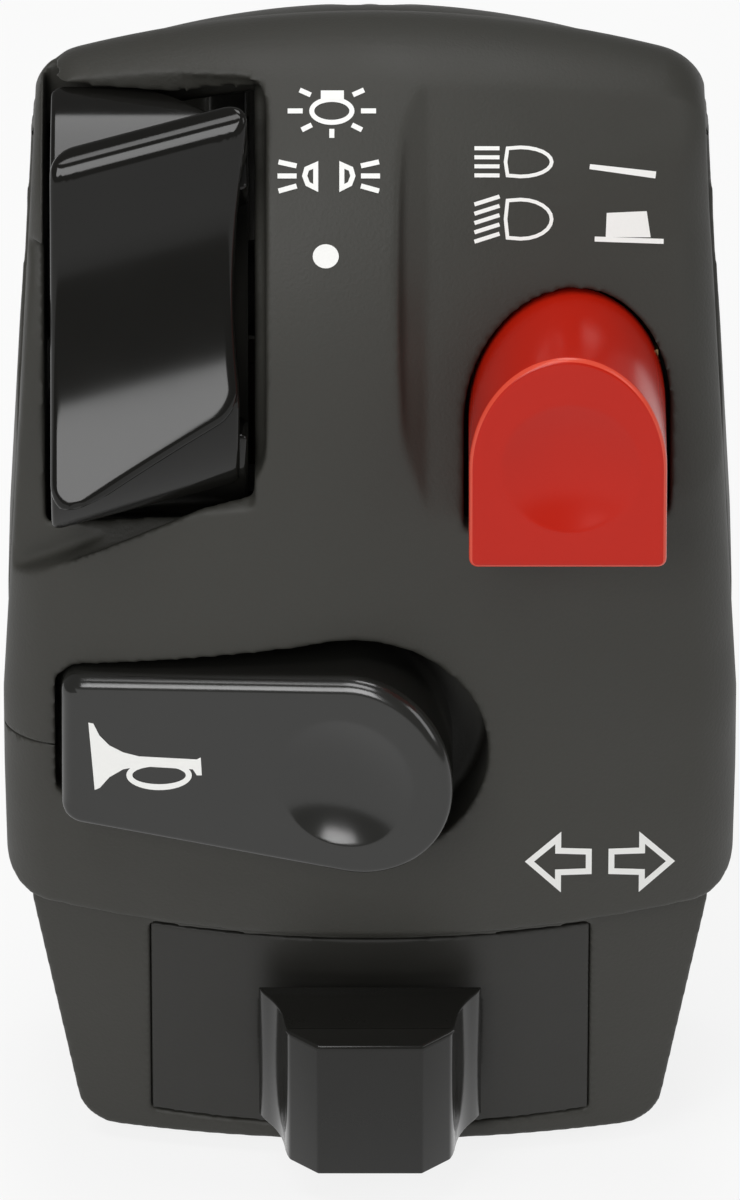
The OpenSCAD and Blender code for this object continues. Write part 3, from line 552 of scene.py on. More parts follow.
class CrownedSolid:
    """A closed solid with a crowned, round-edged skin, swept along a side profile."""

    def __init__(self, sweeps: Sequence[Sweep], back: float, inset: float, square: bool = False) -> None:
        """Keeps what the solid is made from.

        Args:
            sweeps: Side profile, from the bottom up.
            back: Y of the flat back in millimetres.
            inset: How far the skin is let in.
            square: Whether the top corners are squarer than the crown.
        """
        self.sweeps = sweeps
        self.back = back
        self.inset = inset
        self.square = square
        self.total = sum(s.length() for s in sweeps)

    def point(self, u: float, v: float) -> Vector:
        """Skin point for a share across and a share along the profile.

        Args:
            u: Share of the half width from -1 to 1.
            v: Share of the profile from 0 to 1.

        Returns:
            The point in metres.
        """
        x = FORM.across(u)
        way = v * self.total
        for sweep in self.sweeps:
            if way <= sweep.length() or sweep is self.sweeps[-1]:
                break
            way -= sweep.length()
        share = min(1.0, way / sweep.length())
        kept = 1 - FORM.squared(*sweep.at(share, 0.0)) if self.square else 1.0
        y, z = sweep.at(share, FORM.fall(x) * kept + self.inset)
        return Vector((x * (FORM.half_at(z) - self.inset) / FORM.half_w, y, z)) * MM

    def build(self, name: str, columns: int = 72, rows: int = 110) -> bpy.types.Object:
        """Makes the solid.

        Args:
            name: Name of the object.
            columns: Cells across.
            rows: Cells along the profile.

        Returns:
            The solid.
        """
        bm = bmesh.new()
        bmesh.ops.create_grid(bm, x_segments=columns, y_segments=rows, size=1.0)
        rim = [e for e in bm.edges if e.is_boundary]
        grown = bmesh.ops.extrude_edge_only(bm, edges=rim)["geom"]
        deep = set(verts_in(grown))
        bmesh.ops.holes_fill(bm, edges=[e for e in bm.edges if e.is_boundary], sides=0)
        first, last = self.point(0, 0).z, self.point(0, 1).z
        for vert in bm.verts:
            v = (vert.co.y + 1) / 2
            vert.co = self.point(vert.co.x, v)
            if vert in deep:
                vert.co.yz = self.back * MM, first + v * (last - first)
        bmesh.ops.recalc_face_normals(bm, faces=bm.faces)
        return show(bm, name)


def cylinder(bm: bmesh.types.BMesh, radius: float, length: float, sides: int) -> list[bmesh.types.BMVert]:
    """Adds an upright closed cylinder about the origin.

    Args:
        bm: Mesh that takes it.
        radius: Radius in millimetres.
        length: Length in millimetres.
        sides: Facets round it.

    Returns:
        Its vertices.
    """
    made = bmesh.ops.create_cone(bm, cap_ends=True, segments=sides, radius1=radius * MM,
                                 radius2=radius * MM, depth=length * MM)
    return made["verts"]


def drum(name: str, radius: float, width: float) -> bpy.types.Object:
    """Makes a drum about the rocker's pin, for cutting.

    Args:
        name: Name of the tool.
        radius: Radius in millimetres.
        width: Length along the pin.

    Returns:
        The drum.
    """
    bm = bmesh.new()
    cylinder(bm, radius, width, DRUM_SIDES)
    place = Matrix.Translation(Vector(FORM.rocker_pin) * MM) @ Matrix.Rotation(math.pi / 2, 4, "Y")
    bmesh.ops.transform(bm, matrix=place, verts=bm.verts)
    return show(bm, name)


@dataclass(frozen=True)
class Shells:
    """Front shell, rear shell, chin and bezel, in millimetres and degrees."""

    # How far the skins lie inside the solids, and how each moulding is rounded.
    inset: float = 0.09
    front_soft: Softness = Softness(0.22, 7, 0.3)
    rear_soft: Softness = Softness(0.3, 7, 0.5)
    chin_soft: Softness = Softness(0.22, 4, 0.5)
    bezel_soft: Softness = Softness(0.14, 2, 0.5)
    # Seam of the front and rear shell, flat backs of their skins and first angle of the rear.
    seam_y: float = 1.0
    back_y: float = 8.0
    rear_back_y: float = -24.0
    rear_start: float = 84.0
    # Tool of the flatter panel. Its flank is given as (out from the floor, across from the step).
    panel_cut: float = 0.05
    panel_clear: float = 9.0
    panel_past: float = 5.0
    panel_flank: tuple[Point2, ...] = ((9.0, -3.0), (2.0, 0.0), (0.6, 0.6))
    panel_low: float = -8.0
    panel_high: float = 40.0
    panel_columns: int = 14
    panel_steps: int = 60
    edge_step: int = 10
    # Plug of the horn pin's hole and hairline beside the horn button, as two corners each.
    pin_plug: Box = ((-18.65, -24.1, -29.05), (-15.75, -19.1, -26.45))
    slit: Box = ((-24, -28, -21.55), (-19.7, -17, -21.4))
    # Layer over the top corners, with a slanted opening for the rocker and its swing.
    brow_reach: Box = ((-24, -27, 12.6), (24, -2, 27))
    brow_opening: Box = ((-20.3, -32, 5), (-6.5, -20.14, 28))
    brow_core_y: float = 7.0
    brow_thick: float = 0.9
    opening_slant: float = -0.145
    swing_r: float = 15.6
    swing_w: float = 13.2
    # Width that the bezel gains.
    bezel_growth: float = 0.3

    def panel_outline(self) -> list[Point2]:
        """Section of the panel's tool as (distance from the panel's axis, x).

        Returns:
            The corners in millimetres.
        """
        floor = FORM.panel_r - self.panel_cut
        flat = FORM.half_w - FORM.edge_r
        first = FORM.step_x + FORM.step_run
        pitch = self.panel_columns
        across = [first + i * (flat - first) / pitch for i in range(pitch + 1)]
        across += [flat + FORM.edge_r * math.sin(math.radians(t))
                   for t in range(self.edge_step, 91, self.edge_step)]
        side = FORM.half_w + self.panel_past
        outline = [(floor + out, FORM.step_x + over) for out, over in self.panel_flank]
        outline += [(floor - FORM.fall(x), x) for x in across]
        return outline + [(floor - self.panel_clear, side), (floor + self.panel_clear, side)]

    def panel_tool(self) -> bpy.types.Object:
        """Solid in front of the flatter panel, turned about its axis.

        Returns:
            The cutting tool.
        """
        first = FORM.step_x + FORM.step_run
        bm = bmesh.new()
        low, high = math.radians(self.panel_low), math.radians(self.panel_high)
        axis = Vector((0, FORM.panel_y, FORM.panel_z)) * MM
        for r, x in self.panel_outline():
            y, z = FORM.panel_y - r * math.cos(low), FORM.panel_z + r * math.sin(low)
            bm.verts.new(Vector((x, y, z)) * MM)
        start = bm.faces.new(bm.verts)
        bmesh.ops.spin(bm, geom=[start, *start.edges, *start.verts], cent=axis, axis=(1, 0, 0),
                       angle=low - high, steps=self.panel_steps, use_merge=False, use_duplicate=False)
        for vert in bm.verts:
            x, y, z = vert.co / MM
            if first < x < FORM.half_w + 1:
                out = Vector((0, y - FORM.panel_y, z - FORM.panel_z)).normalized()
                vert.co += out * FORM.fall(min(x, FORM.half_w)) * FORM.squared(y, z) * MM
            if x < FORM.half_w:
                vert.co.x = x * FORM.half_at(z) / FORM.half_w * MM
        bmesh.ops.remove_doubles(bm, verts=bm.verts, dist=MERGE_MM * MM)
        bmesh.ops.holes_fill(bm, edges=[e for e in bm.edges if e.is_boundary], sides=0)
        bmesh.ops.recalc_face_normals(bm, faces=bm.faces)
        return show(bm, "panel_tool")

    @staticmethod
    def block(name: str, low: Sequence[float], high: Sequence[float]) -> bpy.types.Object:
        """Makes a plain block between two corners in millimetres.

        Args:
            name: Name of the block.
            low: Corner with the least values.
            high: Corner with the greatest.

        Returns:
            The block.
        """
        bm = bmesh.new()
        bmesh.ops.create_cube(bm, size=1.0)
        low, high = Vector(low), Vector(high)
        bmesh.ops.scale(bm, vec=(high - low) * MM, verts=bm.verts)
        bmesh.ops.translate(bm, vec=(high + low) / 2 * MM, verts=bm.verts)
        return show(bm, name)

    def brow(self, sweeps: Sequence[Sweep]) -> bpy.types.Object:
        """Layer that squares the top corners and roofs the rocker, clear of the rocker's swing.

        Args:
            sweeps: Side profile of the front shell.

        Returns:
            The layer as a solid.
        """
        layer = CrownedSolid(sweeps, self.back_y, self.inset, True).build("brow")
        core = CrownedSolid(sweeps, self.brow_core_y, self.brow_thick)
        combine(layer, core.build("brow_core"), Solve.CUT)
        combine(layer, self.block("brow_reach", *self.brow_reach), Solve.KEEP_SHARED)
        combine(layer, drum("brow_swing", self.swing_r, self.swing_w), Solve.CUT)
        opening = self.block("brow_opening", *self.brow_opening)
        aslant = Matrix.Identity(4)
        aslant[1][0] = self.opening_slant
        opening.data.transform(aslant)
        return combine(layer, opening, Solve.CUT)

    def front(self) -> bpy.types.Object:
        """Front shell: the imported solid, its pin hole closed at the foot, under a smooth skin.

        Returns:
            The finished piece.
        """
        cy, cz = FORM.shoulder
        turn = math.radians(FORM.top_a)
        run = (self.seam_y - cy) / math.sin(turn)
        sweeps = [
            Sweep((FORM.face_y, FORM.brow_z), FORM.face_r, FORM.face_low, 0),
            Sweep((0, FORM.brow_z), FORM.brow_r, 0, FORM.brow_join),
            Sweep((cy, cz), FORM.shoulder_r, FORM.brow_join, FORM.top_a),
            Sweep((cy, cz), FORM.shoulder_r, FORM.top_a, FORM.top_a,
                  (run * math.sin(turn), run * math.cos(turn))),
        ]
        skin = CrownedSolid(sweeps, self.back_y, self.inset, True).build("front_skin")
        plug = self.block("pin_plug", *self.pin_plug)
        piece = combine(cad_copy("front_shell", "front_shell_skin"), plug, Solve.ADD)
        combine(piece, self.brow(sweeps), Solve.ADD)
        combine(piece, skin, Solve.KEEP_SHARED)
        combine(piece, self.panel_tool(), Solve.CUT)
        soften(piece, self.front_soft)
        combine(piece, self.block("slit", *self.slit), Solve.CUT)
        return fit_out(piece, SHELL, Body.HOUSING, "front_shell")

    def rear(self) -> bpy.types.Object:
        """Rear shell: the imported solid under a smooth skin.

        Returns:
            The finished piece.
        """
        turn = math.radians(FORM.rear_a)
        sweeps = [
            Sweep((0, 0), FORM.rear_r, self.rear_start, FORM.rear_a),
            Sweep((0, 0), FORM.rear_r, FORM.rear_a, FORM.rear_a,
                  (FORM.rear_run * math.sin(turn), FORM.rear_run * math.cos(turn))),
        ]
        skin = CrownedSolid(sweeps, self.rear_back_y, self.inset).build("rear_skin")
        piece = combine(cad_copy("rear_shell", "rear_shell_skin"), skin, Solve.KEEP_SHARED)
        soften(piece, self.rear_soft)
        return fit_out(piece, SHELL, Body.HOUSING, "rear_shell")

    def chin(self) -> bpy.types.Object:
        """Chin below the front shell."""
        piece = soften(cad_copy("chin_housing", "chin_skin"), self.chin_soft)
        return fit_out(piece, SHELL, Body.HOUSING, "chin_housing")

    def bezel(self) -> bpy.types.Object:
        """Inset panel that the knob slides over, a little wider so that only a hairline shows round it.

        Returns:
            The finished piece.
        """
        piece = cad_copy("indicator_bezel", "bezel_skin")
        low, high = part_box("indicator_bezel")
        middle, wide = (low[0] + high[0]) / 2, high[0] - low[0]
        grown = 1 + self.bezel_growth * MM / wide
        piece.data.transform(Matrix.Translation((middle, 0, 0)) @ Matrix.Scale(grown, 4, (1, 0, 0))
                             @ Matrix.Translation((-middle, 0, 0)))
        soften(piece, self.bezel_soft)
        return fit_out(piece, BEZEL, Body.HOUSING, "indicator_bezel")

    def build(self) -> bpy.types.Object:
        """Makes the four mouldings.

        Returns:
            The front shell, which carries the print.
        """
        front = self.front()
        self.rear()
        self.chin()
        self.bezel()
        return front


def rounded(corners: Sequence[Point3], step: float = 0.4) -> list[Vector]:
    """Closed outline through corners that each have a radius.

    Args:
        corners: Anticlockwise corners as (across, up, radius).
        step: Longest distance between two points.

    Returns:
        The points of the outline, evenly spread.
    """
    points = []
    for index, (x, y, radius) in enumerate(corners):
        spot = Vector((x, y))
        before = (Vector(corners[index - 1][:2]) - spot).normalized()
        after = (Vector(corners[(index + 1) % len(corners)][:2]) - spot).normalized()
        half = before.angle(after) / 2
        if not radius:
            points.append(spot)
            continue
        middle = spot + (before + after).normalized() * (radius / math.sin(half))
        start = (spot + before * (radius / math.tan(half)) - middle).normalized()
        end = (spot + after * (radius / math.tan(half)) - middle).normalized()
        steps = max(CORNER_STEPS, round(2 * radius * (math.pi - 2 * half) / step))
        points += [middle + start.slerp(end, k / steps) * radius for k in range(steps + 1)]
    full = []
    for a, b in zip(points, points[1:] + points[:1]):
        parts = max(1, math.ceil((b - a).length / step))
        full += [a.lerp(b, k / parts) for k in range(parts)]
    return full


@dataclass(frozen=True)
class Cap:
    """A moulded cap grown from a closed outline: a wall, a rounded edge and a face."""

    outline: Sequence[Vector]
    middle: Point2
    place: Callable[[float, float, float], Vector]
    wall: float
    edge: Callable[[Vector], float]
    rings: int = 26
    turns: int = 6
    merge_mm: float = 0.002
    sharp_deg: float = 50.0

    def outward(self) -> list[Vector]:
        """Unit vectors that point out of the outline at its points.

        Returns:
            One vector for each point.
        """
        n = len(self.outline)
        found = []
        for i in range(n):
            way = self.outline[(i + 1) % n] - self.outline[i - 1]
            found.append(Vector((way.y, -way.x)).normalized())
        return found

    def steps(self) -> list[Point3]:
        """Rings after the foot: shares of the edge radius inward and down, and of the way to the middle.

        Returns:
            The three shares of each ring.
        """
        turned = [math.radians(90 * k / self.turns) for k in range(self.turns + 1)]
        edge = [(1 - math.cos(t), 1 - math.sin(t), 0.0) for t in turned]
        return edge + [(1.0, 0.0, k / self.rings) for k in range(1, self.rings + 1)]

    def build(self, name: str) -> bpy.types.Object:
        """Makes the cap.

        Args:
            name: Name of the object.

        Returns:
            The closed cap.
        """
        bm = bmesh.new()
        number = bm.verts.layers.int.new("number")
        bmesh.ops.create_circle(bm, cap_ends=True, segments=len(self.outline), radius=1.0)
        out = self.outward()
        for index, vert in enumerate(bm.verts):
            vert[number] = index
            vert.co = self.place(*self.outline[index], self.wall) * MM
        rim = [e for e in bm.edges if len(e.link_faces) == 1]
        for inset, depth, share in self.steps():
            geom = bmesh.ops.extrude_edge_only(bm, edges=rim)["geom"]
            for vert in verts_in(geom):
                way = out[vert[number]]
                spot = self.outline[vert[number]] - way * (inset * self.edge(way))
                spot = spot.lerp(Vector(self.middle), share)
                vert.co = self.place(*spot, depth * self.edge(way)) * MM
            rim = [g for g in geom if isinstance(g, bmesh.types.BMEdge)]
        bmesh.ops.remove_doubles(bm, verts=bm.verts, dist=self.merge_mm * MM)
        bmesh.ops.recalc_face_normals(bm, faces=bm.faces)
        return show(bm, name, self.sharp_deg)


@dataclass(frozen=True)
class Dish:
    """A round thumb dish in a face."""

    x: float
    z: float
    radius: float
    depth: float
    power: float

    def at(self, x: float, z: float) -> float:
        """Depth of the dish at a point."""
        far = math.hypot(x - self.x, z - self.z) / self.radius
        return self.depth * (1 - far * far) ** self.power if far < 1 else 0.0


def join(name: str, parts: Sequence[bpy.types.Object]) -> bpy.types.Object:
    """Joins objects into one new object.

    Args:
        name: Name of the whole.
        parts: Objects that are used up.

    Returns:
        The joined object.
    """
    bm = bmesh.new()
    for part in parts:
        bm.from_mesh(part.data)
        bpy.data.objects.remove(part)
    mesh = bpy.data.meshes.new(name)
    bm.to_mesh(mesh)
    bm.free()
    made = bpy.data.objects.new(name, mesh)
    bpy.context.scene.collection.objects.link(made)
    return made


@dataclass(frozen=True)
class LightRocker:
    """Three-way rocker: slanted ridges over a drum, in millimetres and degrees about its pin."""

    pivot: Point2 = FORM.rocker_pin[1:]
    x0: float = -19.9
    x1: float = -7.6
    drum_r: float = 17.7
    valley_at: float = 72.7
    valley_r: float = 59.3
    valley_a: float = 16.0
    slant: float = 16.0
    crest_r: float = 2.0
    high_a: float = 57.5
    low_a: float = -23.5
    low_right_a: float = -12.7
    crown_r: float = 15.35
    skirt_r: float = 15.2
    apron_r: float = 14.4
    wall_r: float = 12.0
    core_r: float = 12.7
    draft: float = 0.2
    sink: float = 0.2
    ridge_edge: float = 0.5
    rim_edge: float = 0.4
    drum_edge: float = 0.3
    # Corners of the raised parts: angles about the pin and radii, or both as (angle, radius).
    ridge_rounds: tuple[float, float, float, float] = (1.7, 2.2, 1.6, 1.5)
    crown_foot_a: float = 48.0
    crown_right: Point2 = (64.0, 2.0)
    crown_peak: Point3 = (-13.5, 79.0, 6.0)
    crown_left: Point2 = (80.0, 1.0)
    skirt_low_a: float = -37.0
    skirt_right_a: float = -6.0
    skirt_rounds: Point2 = (0.8, 0.5)
    seam_a: float = -16.0
    apron_low_a: float = -62.0
    corner: float = 0.4
    tool_w: float = 60.0

    @property
    def mid(self) -> float:
        """Middle of the width."""
        return (self.x0 + self.x1) / 2

    def along(self, a: float) -> float:
        """Way along the drum for an angle."""
        return math.radians(a) * self.drum_r

    def crest(self) -> Point3:
        """Round crest that touches the valley: distance and angle of its centre, and where it starts.

        Returns:
            A distance in millimetres and two angles in radians.
        """
        out = self.drum_r - self.crest_r
        reach = self.valley_r + self.crest_r
        spread = math.acos((self.valley_at ** 2 + out ** 2 - reach ** 2) / (2 * self.valley_at * out))
        turn = math.radians(self.valley_a) + spread
        middle = Vector((out * math.cos(turn), out * math.sin(turn)))
        valley = Vector((math.cos(math.radians(self.valley_a)), math.sin(math.radians(self.valley_a))))
        touch = middle + (valley * self.valley_at - middle).normalized() * self.crest_r
        return out, turn, math.atan2(touch.y, touch.x)

    def scooped(self, turn: float) -> float:
        """Radius at an angle in radians: the drum, the valley in it or the round crest above.

        Args:
            turn: Angle about the pin.

        Returns:
            The radius in millimetres.
        """
        out, middle, start = self.crest()
        if turn > start:
            side = out * math.sin(turn - middle)
            return out * math.cos(turn - middle) + math.sqrt(max(0.0, self.crest_r ** 2 - side ** 2))
        turn -= math.radians(self.valley_a)
        side = self.valley_at * math.sin(turn)
        if abs(side) >= self.valley_r:
            return self.drum_r
        return min(self.drum_r, self.valley_at * math.cos(turn) - math.sqrt(self.valley_r ** 2 - side ** 2))

    def place(self, x: float, way: float, depth: float, profile: Callable[[float], float],
              slant: float) -> Vector:
        """Point on the drum.

        Args:
            x: Place across.
            way: Way along the drum.
            depth: Depth below the surface.
            profile: Radius for an angle in radians.
            slant: Slant of the drum in degrees.

        Returns:
            The point in millimetres.
        """
        turn, lean = way / self.drum_r, math.radians(slant)
        r = profile(turn)
        if slant:
            x -= self.draft * (self.drum_r - r) * (x - self.x0) / (self.x1 - self.x0)
        r = max(self.wall_r, r - depth)
        up = r * math.sin(turn)
        side = (x - self.mid + up * math.sin(lean)) / math.cos(lean)
        return Vector((x, self.pivot[0] - r * math.cos(turn),
                       self.pivot[1] + side * math.sin(lean) + up * math.cos(lean)))

    def cap(self, name: str, corners: Sequence[Point3],
            profile: Callable[[float], float], slant: float,
            edge: Callable[[Vector], float]) -> bpy.types.Object:
        """Makes one raised part of the drum.

        Args:
            name: Name of the part.
            corners: Corners as (x, angle, radius).
            profile: Radius for an angle in radians.
            slant: Slant of the drum in degrees.
            edge: Edge radius for an outward direction.

        Returns:
            The closed part.
        """
        outline = rounded([(x, self.along(a), r) for x, a, r in corners])
        high = max(a for _, a, _ in corners)
        low = min(a for _, a, _ in corners)
        place = partial(self.place, profile=profile, slant=slant)
        return Cap(outline, (self.mid, self.along((high + low) / 2)), place, self.drum_r, edge).build(name)

    def ridges(self) -> bpy.types.Object:
        """Raised ridges with the valley between them.

        Returns:
            The closed part.
        """
        sides = (self.x0, self.x1, self.x1, self.x0)
        turns = (self.low_a, self.low_right_a, self.high_a, self.high_a)
        corners = list(zip(sides, turns, self.ridge_rounds))
        return self.cap("rocker_ridges", corners, self.scooped, self.slant,
                        lambda way: self.ridge_edge + self.rim_edge * max(0.0, -way.y))

    def crown(self) -> bpy.types.Object:
        """Rounded crown behind the ridges.

        Returns:
            The closed part.
        """
        foot = [(x, self.crown_foot_a, self.corner) for x in (self.x0, self.x1)]
        corners = [*foot, (self.x1, *self.crown_right), self.crown_peak, (self.x0, *self.crown_left)]
        return self.cap("rocker_crown", corners, lambda turn: self.crown_r, 0.0, lambda way: self.drum_edge)

    def skirt(self) -> bpy.types.Object:
        """Lower skirt below the ridges.

        Returns:
            The closed part.
        """
        low, high = self.skirt_rounds
        corners = [(self.x0, self.skirt_low_a, low), (self.x1, self.skirt_low_a, low),
                   (self.x1, self.skirt_right_a, high), (self.x0, self.seam_a, high)]
        return self.cap("rocker_skirt", corners,
                        lambda turn: min(self.skirt_r, self.scooped(turn) - self.sink),
                        self.slant, lambda way: self.drum_edge)

    def apron(self) -> bpy.types.Object:
        """Apron that closes the pocket below."""
        corners = [(self.x0, self.apron_low_a, self.corner), (self.x1, self.apron_low_a, self.corner),
                   (self.x1, self.seam_a, self.corner), (self.x0, self.seam_a, self.corner)]
        return self.cap("rocker_apron", corners, lambda turn: self.apron_r, 0.0, lambda way: self.drum_edge)

    def core(self) -> bpy.types.Object:
        """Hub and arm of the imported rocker, inside the drum."""
        tool = drum("rocker_core_tool", self.core_r, self.tool_w)
        return combine(cad_copy("light_rocker", "rocker_core"), tool, Solve.KEEP_SHARED)

    def build(self) -> None:
        """Makes the rocker as one piece."""
        dull = [self.skirt(), self.apron(), self.core()]
        for part in dull:
            for face in part.data.polygons:
                face.material_index = 1
        rocker = join("rocker", [self.ridges(), self.crown(), *dull])
        fit_out(rocker, GLOSS, Body.ROCKER, "light_rocker")
        rocker.data.materials.append(DULL_BLACK.material())


@dataclass(frozen=True)
class DipButton:
    """Red arched push button."""

    x: float = 12.3
    z: float = -4.0
    width: float = 12.3
    height: float = 14.3
    rise: float = 7.6
    corner: float = 0.55
    edge: float = 0.42
    # Range of face normals on the rounded front edge that get the lighter red of the painted highlight.
    highlight_from: float = 0.3
    highlight_to: float = 0.92
    front: float = -34.0
    back: float = -23.0
    # Height share of the point that the rings of the face close on.
    middle_share: float = 0.46
    rings: int = 44
    dish: Dish = Dish(12.45, 2.8, 4.4, 0.88, 1.12)

    def place(self, x: float, z: float, depth: float) -> Vector:
        """Point of the button at a depth below its face."""
        return Vector((x, min(self.back, self.front + depth + self.dish.at(x, z)), z))

    def build(self) -> None:
        """Makes the button."""
        half, spring = self.width / 2, self.z + self.height - self.rise
        corners = [(self.x - half, self.z, self.corner), (self.x + half, self.z, self.corner)]
        for t in (math.radians(k) for k in range(0, 181, ARC_STEP)):
            corners.append((self.x + half * math.cos(t), spring + self.rise * math.sin(t), 0))
        middle = (self.x, self.z + self.height * self.middle_share)
        cap = Cap(rounded(corners), middle, self.place, THROUGH, lambda way: self.edge, rings=self.rings)
        button = fit_out(cap.build("dip_button_skin"), RED, Body.DIP, "dip_button")
        # Faces of the rounded front edge take the lighter red: a painted highlight, not a colour of the
        # button.
        button.data.materials.append(RED_PAINTED_HIGHLIGHT.material())
        for face in button.data.polygons:
            highlight_face = -self.highlight_to < face.normal.y < -self.highlight_from
            face.material_index = int(highlight_face and face.center.y < (self.front + self.edge) * MM)


@dataclass(frozen=True)
class HornButton:
    """Hinged horn button, narrower and lower at its left end."""

    x0: float = -19.4
    z: float = -20.9
    cx: float = -1.1
    r: float = 6.3
    end_h: float = 9.3
    lift: float = 0.75
    corner: float = 1.35
    face_y: float = -25.2
    tilt: float = 13.3
    back: float = -22.4
    top_edge: float = 1.2
    low_edge: float = 0.4
    # How the edge grows from the low to the top radius as its direction turns up.
    edge_level: float = 0.5
    edge_gain: float = 0.9
    arc_end: int = 93
    middle_x: float = -4.5
    rings: int = 44
    turns: int = 9
    dish: Dish = Dish(-1.6, -21.0, 4.4, 1.06, 1.1)

    def edge(self, way: Vector) -> float:
        """Edge radius, larger along the top."""
        share = max(0.0, min(1.0, self.edge_level + self.edge_gain * way.y))
        return self.low_edge + (self.top_edge - self.low_edge) * share

    def place(self, x: float, z: float, depth: float) -> Vector:
        """Point of the button at a depth below its leaning face."""
        y = self.face_y - math.tan(math.radians(self.tilt)) * (x - self.x0)
        return Vector((x, min(self.back, y + depth + self.dish.at(x, z)), z))

    def build(self) -> bpy.types.Object:
        """Makes the button."""
        corners = [(self.x0, self.z + self.end_h / 2 + self.lift, self.corner),
                   (self.x0, self.z - self.end_h / 2, self.corner)]
        for t in (math.radians(k) for k in range(-self.arc_end, self.arc_end + 1, ARC_STEP)):
            tall = self.r + (self.lift if t > 0 else 0.0)
            corners.append((self.cx + self.r * math.cos(t), self.z + tall * math.sin(t), 0))
        cap = Cap(rounded(corners), (self.middle_x, self.z), self.place, THROUGH, self.edge,
                  rings=self.rings, turns=self.turns)
        return fit_out(cap.build("horn_button_skin"), HORN_BLACK, Body.HORN, "horn_button")


@dataclass(frozen=True)
class HornPin:
    """Blackened hinge pin of the horn button, ending inside the cheeks."""

    x: float = -17.2
    y: float = -21.4
    z: float = -20.9
    radius: float = 1.0
    length: float = 10.6
    edge: float = 0.2
    sides: int = 40
    crease_deg: float = 60.0
    edge_rings: int = 3

    def build(self) -> None:
        """Makes the pin."""
        bm = bmesh.new()
        cylinder(bm, self.radius, self.length, self.sides)
        bmesh.ops.translate(bm, verts=bm.verts, vec=Vector((self.x, self.y, self.z)) * MM)
        soft_bevel(bm, creases(bm, self.crease_deg), self.edge, self.edge_rings)
        fit_out(show(bm, "horn_pin_skin"), DARK_STEEL, Body.HOUSING, "horn_pin")


@dataclass(frozen=True)
class IndicatorKnob:
    """Sliding knob of the indicator switch, built in the tilted frame of the chin."""

    origin: Point3 = (0, -17.7, -44.3)
    tilt: float = 18.0
    half: float = 7.1
    height: float = 11.2
    out: float = 6.9
    base: float = -1.3
    tip: float = 3.3
    bevel: float = 1.3
    draft: float = 2.0
    chamfer: float = 0.95
    edge: float = 0.22
    stem_r: float = 2.5
    stem_long: float = 8.0
    stem_y: float = 2.0
    stem_sides: int = 48
    # Hollow of the grip: points, depth and plain share at either end.
    scallop_steps: int = 12
    scallop: float = 0.35
    scallop_land: float = 0.12
    crease_deg: float = 22.0
    edge_rings: int = 4
    near: float = 0.001

    def side(self) -> list[Point2]:
        """Right half of the outline, from the foot over the scalloped side to the tip.

        Returns:
            The points as (x, y) in millimetres.
        """
        foot = Vector((self.half, self.base))
        shoulder = Vector((self.half - self.draft, -self.out + self.bevel))
        land = self.scallop_land
        way = shoulder - foot
        inward = Vector((way.y, -way.x)).normalized()
        points = []
        for i in range(self.scallop_steps + 1):
            t = i / self.scallop_steps
            share = (t - land) / (1 - 2 * land)
            inset = self.scallop * math.sin(math.pi * share) if 0 < share < 1 else 0.0
            points.append(tuple(foot + t * way + inward * inset))
        return points + [(self.tip, -self.out)]

    def cap_edges(self, bm: bmesh.types.BMesh) -> list[bmesh.types.BMEdge]:
        """Top edges over the front face and the two corner facets.

        Args:
            bm: Mesh of the plain knob.

        Returns:
            The edges.
        """
        top = (self.height / 2 - self.near) * MM
        front = (-self.out + self.bevel + self.near) * MM
        return [e for e in bm.edges if all(v.co.z > top and v.co.y < front for v in e.verts)]

    def build(self) -> None:
        """Makes the knob with its stem."""
        right = self.side()
        outline = right + [(-x, y) for x, y in reversed(right)]
        bm = bmesh.new()
        verts = [bm.verts.new(Vector((x, y, -self.height / 2)) * MM) for x, y in outline]
        grown = bmesh.ops.extrude_face_region(bm, geom=[bm.faces.new(verts)])["geom"]
        bmesh.ops.translate(bm, verts=verts_in(grown), vec=(0, 0, self.height * MM))
        bmesh.ops.recalc_face_normals(bm, faces=bm.faces)
        soft_bevel(bm, self.cap_edges(bm), self.chamfer, 1)
        soft_bevel(bm, creases(bm, self.crease_deg), self.edge, self.edge_rings)
        stem = cylinder(bm, self.stem_r, self.stem_long, self.stem_sides)
        turn = Matrix.Translation((0, self.stem_y * MM, 0)) @ Matrix.Rotation(math.pi / 2, 4, "X")
        bmesh.ops.transform(bm, matrix=turn, verts=stem)
        lean = Matrix.Rotation(math.radians(self.tilt), 4, "X")
        place = Matrix.Translation(Vector(self.origin) * MM) @ lean
        bmesh.ops.transform(bm, matrix=place, verts=bm.verts)
        fit_out(show(bm, "indicator_knob_skin"), KNOB_BLACK, Body.KNOB, "indicator_knob")


class InnerParts:
    """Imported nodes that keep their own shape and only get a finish."""

    finishes = {
        STEEL: ("clamp_screws", "chin_screws", "rocker_pin", "rocker_detent_ball",
                "rocker_detent_spring", "horn_spring"),
        BRASS: ("clamp_inserts", "rocker_wiper", "dip_bridge", "dip_contacts", "horn_tip", "horn_leaf",
                "indicator_wiper"),
        INNER: ("rocker_detent_plate", "dip_guide", "indicator_carriage", "indicator_body"),
        BOARD: ("rocker_contact_plate", "horn_base", "indicator_contact_plate"),
        RUBBER: ("loom_grommet",),
        BEZEL: ("indicator_shutter",),
    }

    def build(self) -> None:
        """Dresses each node."""
        for finish, nodes in self.finishes.items():
            for node in nodes:
                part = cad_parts[node]
                part.data.materials.clear()
                part.data.materials.append(finish.material())
                LOG.info("%s keeps its solid, %s", node, finish.name)


